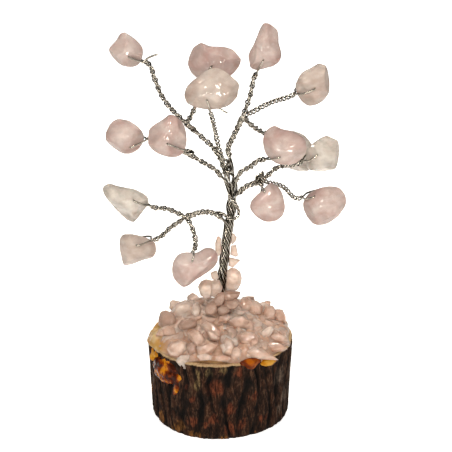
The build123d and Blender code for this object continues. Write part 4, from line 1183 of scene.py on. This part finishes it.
# %% [markdown]
# Many chips have a place of their own in the photograph: a big brownish one that stands at the left,
# pale ones that hang over the bark in front, a few that point out over the right rim, and the clear
# ones that climb the trunk. Each is a convex lump round an outline. The first table gives the zone,
# the middle in mm, how far the outline leans back, the thickness in mm, the quartz, and the outline
# in mm across and up. The second gives plain shards on the far side: the zone, the middle, the half
# sizes, the bearing of the long side, its rise, its roll, and the quartz.

# %% Chips with a place of their own
OUTLINED_CHIPS = (
    ("foot", (-0.7, -0.4, 61.1), 0, 1.5, pale_quartz,
     ((-1.0, -3.4), (-1.1, 0.9), (-0.4, 3.2), (0.4, 3.5), (1.0, 2.5), (1.1, -2.7), (0.0, -4.0))),
    ("foot", (4.4, 0.2, 63.3), 0, 1.6, pale_quartz,
     ((-0.7, 1.9), (0.2, 2.0), (1.2, 0.4), (0.7, -1.0), (-0.4, -2.2), (-0.9, -1.2))),
    ("foot", (4.7, 0.0, 58.8), 0, 1.8, pale_quartz,
     ((-1.1, 2.2), (0.6, 2.5), (1.4, -1.5), (0.5, -2.0), (-1.4, -1.2))),
    ("foot", (4.5, -1.2, 55.4), 0, 2.2, pale_quartz,
     ((-1.4, 1.8), (-0.1, 1.4), (2.4, 0.8), (1.3, -0.7), (-0.3, -2.1), (-1.9, -1.3))),
    ("foot", (4.5, -1.4, 49.2), 0, 4.0, pale_quartz,
     ((-2.4, 3.1), (-1.0, 4.3), (0.8, 4.1), (2.3, 2.8), (2.9, 0.5), (2.5, -1.9), (1.3, -4.0), (-0.7, -4.7),
      (-2.7, -4.2), (-3.0, -0.3))),
    ("foot", (-4.9, -1.4, 45.8), 0, 4.2, pale_quartz,
     ((-2.9, 0.7), (-1.8, 2.7), (0.0, 3.5), (2.2, 2.9), (2.9, -0.2), (1.8, -3.3), (-0.2, -3.8), (-2.0, -2.5))),
    ("foot", (-1.3, -2.8, 46.2), 0, 3.4, pale_quartz,
     ((-1.7, 3.2), (1.0, 3.5), (2.1, 0.6), (1.5, -1.6), (-0.7, -3.1), (-2.2, -2.6))),
    ("foot", (-2.0, -0.8, 50.2), 0, 2.0, pale_quartz,
     ((-1.4, 1.2), (0.7, 2.2), (1.6, -0.8), (0.1, -1.8), (-1.1, -0.9))),
    ("foot", (3.9, -5.2, 45.1), 12, 3.6, brown_quartz,
     ((-3.1, 0.8), (-0.9, 1.7), (1.4, 1.2), (3.1, 1.0), (2.3, -0.9), (0.1, -2.1), (-2.8, -1.8))),
    ("foot", (3.7, -6.0, 42.1), 16, 3.6, brown_quartz,
     ((-2.3, 1.5), (1.9, 2.2), (3.1, 0.5), (1.7, -1.9), (-1.5, -2.1), (-3.0, -0.2))),
    ("foot", (-0.3, -5.6, 43.5), 14, 3.4, brown_quartz,
     ((-2.7, -0.4), (-0.7, 2.1), (1.5, 2.7), (2.4, 0.2), (1.1, -2.2), (-1.6, -2.4))),
    ("foot", (-3.2, -6.8, 40.8), 20, 3.2, brown_quartz,
     ((-2.2, -0.4), (-1.3, 1.8), (0.5, 2.6), (2.3, 1.6), (2.4, -0.9), (0.2, -2.6), (-1.8, -2.1))),
    ("foot", (1.0, -7.2, 40.4), 26, 3.0, brown_quartz,
     ((-2.3, 0.3), (-0.7, 1.8), (1.9, 1.6), (2.6, -0.4), (0.2, -1.9), (-1.8, -1.5))),
    ("foot", (8.7, 1.6, 38.2), 10, 4.4, chip_quartz,
     ((-2.5, 0.4), (-1.5, 2.4), (0.4, 2.9), (2.4, 1.4), (2.5, -1.3), (0.5, -3.1), (-1.8, -2.6))),
    ("foot", (-7.0, 3.6, 39.0), 10, 3.4, pale_quartz,
     ((-3.0, 0.4), (-1.3, 1.1), (1.2, 1.3), (2.8, 0.1), (1.9, -1.5), (-1.6, -1.5))),
    ("outer", (-18.4, -2.8, 34.3), 20, 5.0, brown_quartz,
     ((-3.1, 0.6), (-2.3, 3.2), (-0.4, 3.8), (1.8, 2.7), (3.2, 0.5), (3.5, -2.1), (1.7, -3.6),
      (-1.4, -3.4), (-3.0, -1.7))),
    ("middle", (-11.2, -9.0, 35.9), 30, 3.6, brown_quartz,
     ((-3.5, -0.6), (-1.8, 1.7), (0.9, 2.3), (3.4, 1.3), (3.3, -0.7), (0.2, -2.1), (-2.5, -1.9))),
    ("outer", (-12.5, 1.3, 36.6), 24, 6.0, pale_quartz,
     ((-4.8, -0.8), (-3.0, 2.2), (0.4, 3.6), (3.2, 2.3), (4.6, -0.8), (1.8, -3.2), (-2.3, -3.4))),
    ("middle", (-8.2, -3.0, 38.4), 20, 5.0, pale_quartz,
     ((-2.3, -0.3), (-1.2, 2.3), (0.9, 2.9), (1.8, 0.7), (1.3, -2.4), (-0.6, -3.3))),
    ("outer", (-14.2, -17.5, 31.2), 42, 3.6, chip_quartz,
     ((-3.7, -0.3), (-2.4, 1.8), (0.8, 3.0), (3.3, 2.1), (3.5, -0.8), (0.9, -3.1), (-2.4, -2.6))),
    ("outer", (-12.0, -20.4, 27.7), -12, 2.4, pale_quartz,
     ((-2.7, 0.5), (-1.2, 2.6), (2.1, 2.9), (1.9, -0.1), (0.7, -3.0), (-0.8, -2.9))),
    ("outer", (-4.4, -20.1, 32.2), 42, 3.4, chip_quartz,
     ((-3.6, 0.6), (-1.0, 1.8), (1.7, 2.3), (3.7, 1.2), (2.3, -0.8), (-0.3, -2.5), (-2.9, -2.6))),
    ("middle", (-7.5, -15.2, 33.6), 40, 3.4, chip_quartz,
     ((-3.9, 1.9), (-1.3, 3.4), (0.8, 2.6), (2.8, -0.5), (2.1, -3.7), (-0.5, -3.6))),
    ("middle", (-2.7, -12.0, 35.4), 40, 3.2, chip_quartz,
     ((-4.4, 1.5), (-2.1, 3.3), (0.6, 2.1), (2.6, -0.5), (3.3, -3.4), (-0.0, -2.9))),
    ("middle", (6.2, -8.3, 36.3), 36, 3.4, chip_quartz,
     ((-4.3, 0.1), (-1.9, 2.3), (1.5, 2.2), (3.8, 0.3), (2.5, -2.2), (-1.6, -2.6))),
    ("outer", (2.7, -19.7, 32.6), 42, 3.4, chip_quartz,
     ((-2.4, 0.7), (-0.8, 3.6), (1.2, 2.5), (2.5, -0.7), (1.2, -3.3), (-1.7, -2.7))),
    ("outer", (15.7, -9.6, 33.1), 40, 3.4, pale_quartz,
     ((-2.8, -0.6), (-0.9, 1.6), (1.8, 2.5), (2.6, 0.9), (1.0, -1.6), (-1.7, -2.7))),
    ("outer", (19.8, -10.5, 31.3), 38, 3.2, chip_quartz,
     ((-3.7, 0.9), (-0.6, 2.1), (2.4, 0.9), (3.2, -0.9), (1.0, -1.8), (-2.4, -1.2))),
    ("outer", (18.7, -14.4, 30.2), 38, 3.4, chip_quartz,
     ((-4.5, 0.7), (-2.0, 2.1), (1.3, 1.3), (4.0, -0.6), (2.6, -1.6), (-1.4, -1.9))),
    ("outer", (13.8, -19.4, 29.7), 40, 3.4, chip_quartz,
     ((-6.0, 1.0), (-2.7, 2.8), (0.6, 1.8), (3.9, -0.4), (5.7, -1.8), (1.9, -1.9), (-3.4, -1.4))),
    ("outer", (20.9, 3.4, 33.3), 30, 4.0, chip_quartz,
     ((-2.8, 0.6), (-1.4, 2.5), (0.9, 2.3), (2.0, -0.1), (2.1, -2.9), (-0.7, -2.5))),
    ("outer", (17.2, 2.8, 34.7), 26, 5.0, chip_quartz,
     ((-2.7, -0.4), (-1.3, 2.4), (1.1, 2.7), (2.5, 0.6), (1.8, -2.5), (-1.4, -2.8))),
    ("outer", (11.7, 2.5, 36.9), 24, 6.0, chip_quartz,
     ((-3.5, -0.2), (-2.1, 2.7), (1.0, 2.5), (3.4, 0.5), (2.7, -2.6), (-1.5, -2.9))),
    ("middle", (9.3, -14.8, 33.4), 42, 3.0, chip_quartz,
     ((-4.1, 1.2), (-0.8, 2.6), (2.6, 1.6), (3.9, -0.9), (1.2, -2.6), (-2.8, -1.9))),
    ("outer", (5.2, -21.7, 31.4), 48, 3.0, chip_quartz,
     ((-1.5, 1.1), (0.6, 2.6), (1.9, 1.1), (1.5, -1.0), (-0.5, -2.4), (-2.1, -1.4))),
    ("outer", (1.7, -20.0, 32.5), 46, 3.0, pale_quartz,
     ((-1.9, 1.0), (0.1, 2.2), (1.6, 0.6), (1.1, -1.6), (-0.9, -2.2))),
    ("middle", (-2.2, -15.2, 34.2), 46, 3.0, chip_quartz,
     ((-2.5, 2.1), (-0.1, 1.4), (2.3, -0.4), (1.3, -1.8), (-1.1, -1.1))),
    ("outer", (-4.9, -22.7, 30.5), 52, 2.2, pale_quartz,
     ((-2.9, 0.5), (-0.0, 1.2), (2.6, 0.3), (2.0, -0.9), (-1.6, -1.1))),
    ("outer", (0.9, -23.3, 30.4), 52, 2.2, chip_quartz,
     ((-2.9, 0.5), (0.4, 1.1), (2.7, 0.1), (1.7, -0.9), (-1.9, -0.9))),
    ("outer", (11.3, -16.3, 32.5), 46, 3.0, chip_quartz,
     ((-2.0, 0.4), (0.0, 1.8), (1.7, 0.7), (1.3, -1.0), (-1.1, -1.8))),
    ("outer", (-9.4, -19.2, 31.9), 46, 3.0, brown_quartz,
     ((-1.9, 0.6), (-0.3, 2.5), (1.7, 0.9), (1.4, -1.5), (-0.9, -2.4))),
    ("outer", (-17.3, -8.5, 32.8), 44, 3.2, chip_quartz,
     ((-2.9, 1.6), (-0.6, 2.5), (2.5, 1.1), (2.9, -1.4), (0.2, -2.5), (-2.2, -1.2))),
    ("middle", (4.1, -13.2, 34.7), 44, 3.0, brown_quartz,
     ((-2.4, 1.3), (-0.2, 2.2), (1.8, 0.6), (1.6, -1.8), (-0.9, -2.3))),
    ("outer", (15.5, 7.7, 33.5), 30, 4.4, pale_quartz,
     ((-2.5, 2.2), (-0.2, 3.3), (2.1, 1.5), (2.6, -1.7), (0.3, -3.8), (-2.2, -1.5))),
)
PLACED_CHIPS = (
    ("outer", (19.8, 6.5, 32.2), (4.0, 2.8, 2.2), 12, 4, 10, chip_quartz),
    ("outer", (16.0, 13.0, 32.6), (4.0, 3.4, 2.4), 45, 8, 0, chip_quartz),
    ("outer", (9.5, 17.6, 32.8), (4.0, 3.6, 2.6), 62, 8, 12, chip_quartz),
    ("outer", (-9.5, 17.2, 33.2), (4.0, 3.8, 2.8), 118, 10, -8, pale_quartz),
    ("outer", (-15.5, 11.6, 32.9), (4.2, 3.8, 2.8), 142, 10, 10, pale_quartz),
    ("outer", (0.5, 19.6, 32.6), (4.0, 3.4, 2.4), 92, 8, 4, chip_quartz),
    ("foot", (-1.8, 3.8, 43.0), (3.6, 2.6, 3.0), 100, 60, 0, pale_quartz),
    ("foot", (3.4, 4.1, 44.2), (4.2, 2.6, 2.6), 70, 64, 10, chip_quartz),
    ("foot", (0.9, 3.0, 52.0), (3.3, 2.0, 1.6), 90, 76, 0, pale_quartz),
    ("foot", (1.7, 2.9, 59.5), (2.6, 1.5, 1.2), 80, 80, 10, pale_quartz),
)
print("chips with a place:", len(OUTLINED_CHIPS) + len(PLACED_CHIPS))

# %% Shapes of the placed chips
CHIP_LAYERS = ((0.0, 1.0), (-0.5, 0.62), (0.5, 0.58), (-0.3, 0.86), (0.3, 0.84))
CHIP_WEAR = 0.08
CHIP_CORNERS = 14


def outlined_chip(place, lean, thickness, outline):
    """A convex chip round an outline, thinner towards its faces."""
    work = bmesh.new()
    for depth, share in CHIP_LAYERS:
        shift = Vector((dice.uniform(-0.3, 0.3), 0.0, dice.uniform(-0.3, 0.3))) * (1.0 - share)
        for across, up in outline:
            work.verts.new((Vector((across * share, depth * thickness, up * share)) + shift) * MM)
    mesh = worn_hull(work, "outlined_chip", CHIP_WEAR * thickness)
    mesh.transform(Matrix.Translation(Vector(place) * MM) @ Matrix.Rotation(math.radians(-lean), 4, "X"))
    return mesh


def turned_chip(place, half_sizes, bearing, rise, roll):
    """One shard as a mesh in its place."""
    mesh = shard_mesh("placed_chip", half_sizes, CHIP_CORNERS, dice)
    turn = Matrix.Rotation(math.radians(bearing), 4, "Z") @ Matrix.Rotation(math.radians(-rise), 4, "Y")
    turn = turn @ Matrix.Rotation(math.radians(roll), 4, "X")
    mesh.transform(Matrix.Translation(Vector(place) * MM) @ turn)
    return mesh


def chips_of(zone):
    """The chips with a place of their own in one zone, as (mesh, finish) pairs."""
    chips = [(outlined_chip(place, lean, thickness, outline), finish)
             for where, place, lean, thickness, finish, outline in OUTLINED_CHIPS if where == zone]
    return chips + [(turned_chip(*shape), finish) for where, *shape, finish in PLACED_CHIPS if where == zone]


def blended_meshes(parts, name):
    """Joins (mesh, finish) pairs into one mesh that keeps each one's finish."""
    finishes = []
    for mesh, finish in parts:
        if finish not in finishes:
            finishes.append(finish)
        mesh.polygons.foreach_set("material_index", [finishes.index(finish)] * len(mesh.polygons))
    made = joined([mesh for mesh, _ in parts], name)
    for finish in finishes:
        made.materials.append(finish)
    return made

print("layers of a chip:", len(CHIP_LAYERS))

# %% Heap in three zones
SECOND_SEED = 20
SECOND_SPACING = 2.0
ZONES = (
    ("outer", 15.0, 30.0, 3.5, 0.34, -0.1, 3), ("middle", 8.5, 15.0, 3.4, 0.36, 0.1, 5),
    ("inner", 0.0, 8.5, 3.2, 0.5, 0.0, 9))
for zone, inner, outer, spacing, tip, lift, seed in ZONES:
    parts = chips_of(zone)
    for finish, wider, shift in ((chip_quartz, 0.0, 0), (pale_quartz, SECOND_SPACING, SECOND_SEED)):
        carrier = mesh_object("heap_carrier", polar_bed("heap_carrier", lift, 0.3, 0.5, 4.4, 1.0))
        scattered = mesh_from_tree(carrier, "scattered_chips", heap_tree, HEAP_INPUTS, {
            "Shards": shards, "Spacing": (spacing + wider) * MM, "Inner radius": inner * MM,
            "Outer radius": outer * MM, "Tip": tip, "Seed": seed + shift, "Material": finish})
        parts.append((scattered, finish))
    piece = mesh_object(f"quartz_chips_{zone}_ring", blended_meshes(parts, f"quartz_chips_{zone}_ring"))
    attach(piece, "base")
    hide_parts(f"chips_{zone}_ring")
    print(zone, "faces:", len(piece.data.polygons))

# %% [markdown]
# ## Chips at the trunk's foot
# Rounder, clearer chips climb the foot of the trunk in a blob of glue, and brownish ones bury where it
# leaves the heap. All of them are in the tables above.

# %% Foot chips
foot = mesh_object("quartz_chips_trunk_foot", blended_meshes(chips_of("foot"), "quartz_chips_trunk_foot"))
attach(foot, "base")
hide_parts("chips_trunk_foot")
print("foot chips' faces:", len(foot.data.polygons))

# %% [markdown]
# ## Amber glue
# In four places the glue ran over the rim thick enough to turn from honey to dark amber. It set in
# lumps with a wet shine. Each run is made of balls laid on the bark along its course, as a bearing, a
# height, how far it stands off the bark and a radius in mm, and one voxel remesh melts them together.

# %% Balls of amber glue
AMBER = {
    "amber_glue_left_drip": (
        (222, 26.2, -0.2, 1.3), (227, 26.4, -0.2, 1.3), (209, 24.2, 0.0, 1.6), (214, 24.4, 0.3, 1.8),
        (219, 24.6, 0.4, 1.8), (224, 24.6, 0.2, 1.8), (229, 24.6, 0.0, 1.7), (233, 24.2, -0.1, 1.4),
        (208, 21.9, 0.1, 1.7), (213, 22.0, 0.6, 2.0), (218, 22.1, 0.8, 2.0), (223, 22.2, 0.6, 2.1),
        (228, 22.2, 0.4, 2.0), (233, 22.2, 0.2, 1.8), (237, 22.0, -0.1, 1.3), (209, 19.6, 0.0, 1.6),
        (214, 19.8, 0.3, 1.8), (219, 19.6, 0.5, 1.9), (224, 19.8, 0.4, 1.9), (229, 20.4, 0.3, 1.8),
        (234, 20.6, 0.0, 1.5), (211, 18.3, -0.1, 1.2), (220, 18.3, 0.1, 1.2), (234.5, 18.4, 0.0, 1.4),
        (233, 16.9, 0.0, 1.3), (231, 15.4, -0.1, 1.1), (229, 14.1, -0.2, 0.8)),
    "amber_glue_left_bead": ((206, 24.9, 0.8, 1.7), (210, 26.7, 0.1, 1.4), (204, 26.9, 0.0, 1.3)),
    "amber_glue_right_drip": (
        (288, 28.2, -0.1, 1.1), (291.5, 28.0, 0.1, 1.5), (295, 27.9, 0.4, 1.8), (298.5, 28.0, 0.2, 1.5),
        (302, 27.9, -0.1, 1.1), (293.3, 26.9, 0.1, 1.3), (296.6, 26.8, 0.2, 1.3), (295.2, 26.0, 0.0, 1.0)),
    "amber_glue_right_bead": (
        (305.5, 27.0, 0.2, 1.2), (309, 26.7, 0.6, 1.5), (312.5, 26.5, 0.7, 1.5), (316, 26.6, 0.5, 1.2)),
}
print("balls of glue:", sum(len(balls) for balls in AMBER.values()))


# %% Amber finishes
def amber_resin(name, thick, middle, thin):
    """A glossy resin in three colours, for where it is thick, middling and thin."""
    material, tree = new_finish(name)
    place = node(tree, "ShaderNodeTexCoord").outputs["Object"]
    depth = node(tree, "ShaderNodeTexNoise", {
        "Vector": place, "Scale": 1000 / 3.4, "Detail": 4.0, "Distortion": 0.3})
    colour = node(tree, "ShaderNodeValToRGB", [depth], [(0.4, thick), (0.5, middle), (0.6, thin)])
    bubbles = node(tree, "ShaderNodeTexNoise", {"Vector": place, "Scale": 1000 / 1.3, "Detail": 3.0})
    bump = node(tree, "ShaderNodeBump", {"Height": bubbles, "Strength": 0.05, "Distance": 0.4 * MM})
    shader = node(tree, "ShaderNodeBsdfPrincipled", {
        "Base Color": colour, "Roughness": 0.05, "Specular IOR Level": 0.12, "IOR": 1.54,
        "Subsurface Weight": 0.25, "Subsurface Radius": (1.0, 0.4, 0.1), "Subsurface Scale": 1.5 * MM,
        "Normal": bump})
    node(tree, "ShaderNodeOutputMaterial", {"Surface": shader})
    return material


dark_amber = amber_resin("glue_set_dark_amber", "#340e00", "#752f04", "#be7814")
rust_amber = amber_resin("glue_set_rust_amber", "#561e02", "#783305", "#9c520e")
honey_amber = amber_resin("glue_set_honey", "#985d0a", "#b3781b", "#c6963c")
AMBER_FINISH = {
    "amber_glue_left_drip": dark_amber, "amber_glue_left_bead": honey_amber,
    "amber_glue_right_drip": rust_amber, "amber_glue_right_bead": honey_amber,
}
print("amber finishes:", len(set(AMBER_FINISH.values())))

# %% Amber glue
AMBER_VOXEL = 0.3 * MM
AMBER_PASSES = 22
AMBER_WAVE = (0.35 * MM, 3.4 * MM, 40)
BARK_SKIN = 0.5
SUNK_SHARE = 0.35
for node_name, balls in AMBER.items():
    work = bmesh.new()
    for bearing, z, proud, radius in balls:
        angle = math.radians(bearing)
        reach = rim_radius(angle, z) - BARK_SKIN + proud - SUNK_SHARE * radius
        middle = Matrix.Translation(Vector((reach * math.cos(angle), reach * math.sin(angle), z)) * MM)
        bmesh.ops.create_icosphere(work, subdivisions=3, radius=radius * MM, matrix=middle)
    mesh = bpy.data.meshes.new(node_name)
    work.to_mesh(mesh)
    work.free()
    mesh = skinned(mesh, AMBER_VOXEL, AMBER_PASSES)
    wave(mesh, *AMBER_WAVE)
    piece = mesh_object(f"set_{node_name}", mesh, AMBER_FINISH[node_name])
    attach(piece, "base")
    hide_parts(node_name)
    print(node_name, "faces:", len(mesh.polygons))

# %% [markdown]
# ## Floor, backdrop and light
# The photograph is cut out on white. The floor adds its own glow for the camera only, and more of it
# far from the log, so that a soft shadow stays near it. The world is white to the camera and to rays
# through the stones; all other rays find a dim warm fill, so the light comes from the lamps.

# %% Floor
FLOOR_HALF = 1.5
floor_mesh = bpy.data.meshes.new("floor")
floor_corners = [(x * FLOOR_HALF, y * FLOOR_HALF, 0) for x, y in ((-1, -1), (1, -1), (1, 1), (-1, 1))]
floor_mesh.from_pydata(floor_corners, [], [(0, 1, 2, 3)])
floor_finish, tree = new_finish("matte_white_board")
place = node(tree, "ShaderNodeTexCoord").outputs["Object"]
grain = node(tree, "ShaderNodeTexNoise", {"Vector": place, "Scale": 400.0, "Detail": 2.0})
board = node(tree, "ShaderNodeValToRGB", [grain], [(0.3, "#f6f6f5"), (0.7, "#fbfbfa")])
shader = node(tree, "ShaderNodeBsdfPrincipled", {"Base Color": board, "Roughness": 0.9})
far = node(tree, "ShaderNodeVectorMath DISTANCE", [place, (0.0, 0.0, 0.0)])
strength = node(tree, "ShaderNodeMapRange", {
    "Value": far, "From Min": 0.05, "From Max": 0.5, "To Min": 0.6, "To Max": 1.0})
glow = node(tree, "ShaderNodeEmission", {"Color": linear("#ffffff"), "Strength": strength})
both = node(tree, "ShaderNodeAddShader", [shader, glow])
shown = node(tree, "ShaderNodeLightPath").outputs["Is Camera Ray"]
node(tree, "ShaderNodeOutputMaterial", {"Surface": node(tree, "ShaderNodeMixShader", [shown, shader, both])})
floor = mesh_object("floor", floor_mesh, floor_finish)
print("floor finish nodes:", len(tree.nodes))

# %% World
world = bpy.data.worlds.new("white_studio")
scene.world = world
world.use_nodes = True
tree = world.node_tree
tree.nodes.clear()
rays = node(tree, "ShaderNodeLightPath").outputs
seen = node(tree, "ShaderNodeMath MAXIMUM", [rays["Is Camera Ray"], rays["Is Transmission Ray"]])
fill = node(tree, "ShaderNodeBackground", {"Color": linear("#f4f1ec"), "Strength": 0.3})
backdrop = node(tree, "ShaderNodeBackground", {"Color": linear("#ffffff"), "Strength": 1.0})
chosen = node(tree, "ShaderNodeMixShader", [seen, fill, backdrop])
node(tree, "ShaderNodeOutputWorld", {"Surface": chosen})
print("world nodes:", len(tree.nodes))

# %% Lamps
LAMP_COLOUR = "#fff6ea"
LAMP_AIM = Vector((0, 0, 0.07))
CEILING_SPOTS = (
    (0.06, -0.34, 0.62), (0.1, -0.31, 0.6), (-0.08, -0.3, 0.66), (-0.13, -0.33, 0.6), (0.02, -0.42, 0.6),
    (0.13, -0.4, 0.55))
CEILING_SPOT = (0.026, 0.24)
FRONT_SPOTS = (
    (-0.1, -0.13), (0.06, -0.14), (-0.03, -0.1), (0.13, -0.1), (-0.15, -0.07), (0.04, -0.05), (0.1, 0.03),
    (-0.08, 0.08))
FRONT_SPOT = (0.028, 0.065)
BEHIND_CAMERA = -0.03


def lamp(name, place, size, power, mirrored=True):
    """A round lamp aimed at the tree: its size in metres, its power in watts, and if gloss shows it."""
    data = bpy.data.lights.new(name, "AREA")
    data.shape = "DISK"
    data.size = size
    data.energy = power
    data.color = linear(LAMP_COLOUR)[:3]
    made = bpy.data.objects.new(name, data)
    made.location = place
    made.rotation_euler = (LAMP_AIM - Vector(place)).to_track_quat("-Z", "Y").to_euler()
    made.visible_glossy = mirrored
    scene.collection.objects.link(made)


lamp("key_above_left", (-0.35, -0.45, 0.75), 0.16, 1.1)
lamp("fill_right", (0.6, -0.5, 0.45), 0.4, 0.45)
lamp("soft_above", (0.05, 0.3, 0.7), 0.45, 2.8, mirrored=False)
for number, place in enumerate(CEILING_SPOTS):
    lamp(f"ceiling_spot_{number}", place, *CEILING_SPOT)
for number, (right, up) in enumerate(FRONT_SPOTS):
    lamp(f"front_spot_{number}", CAMERA_PLACE + Vector((right, BEHIND_CAMERA, up)), *FRONT_SPOT)
scene.view_settings.view_transform = "Standard"
print("lamps:", len(bpy.data.lights))
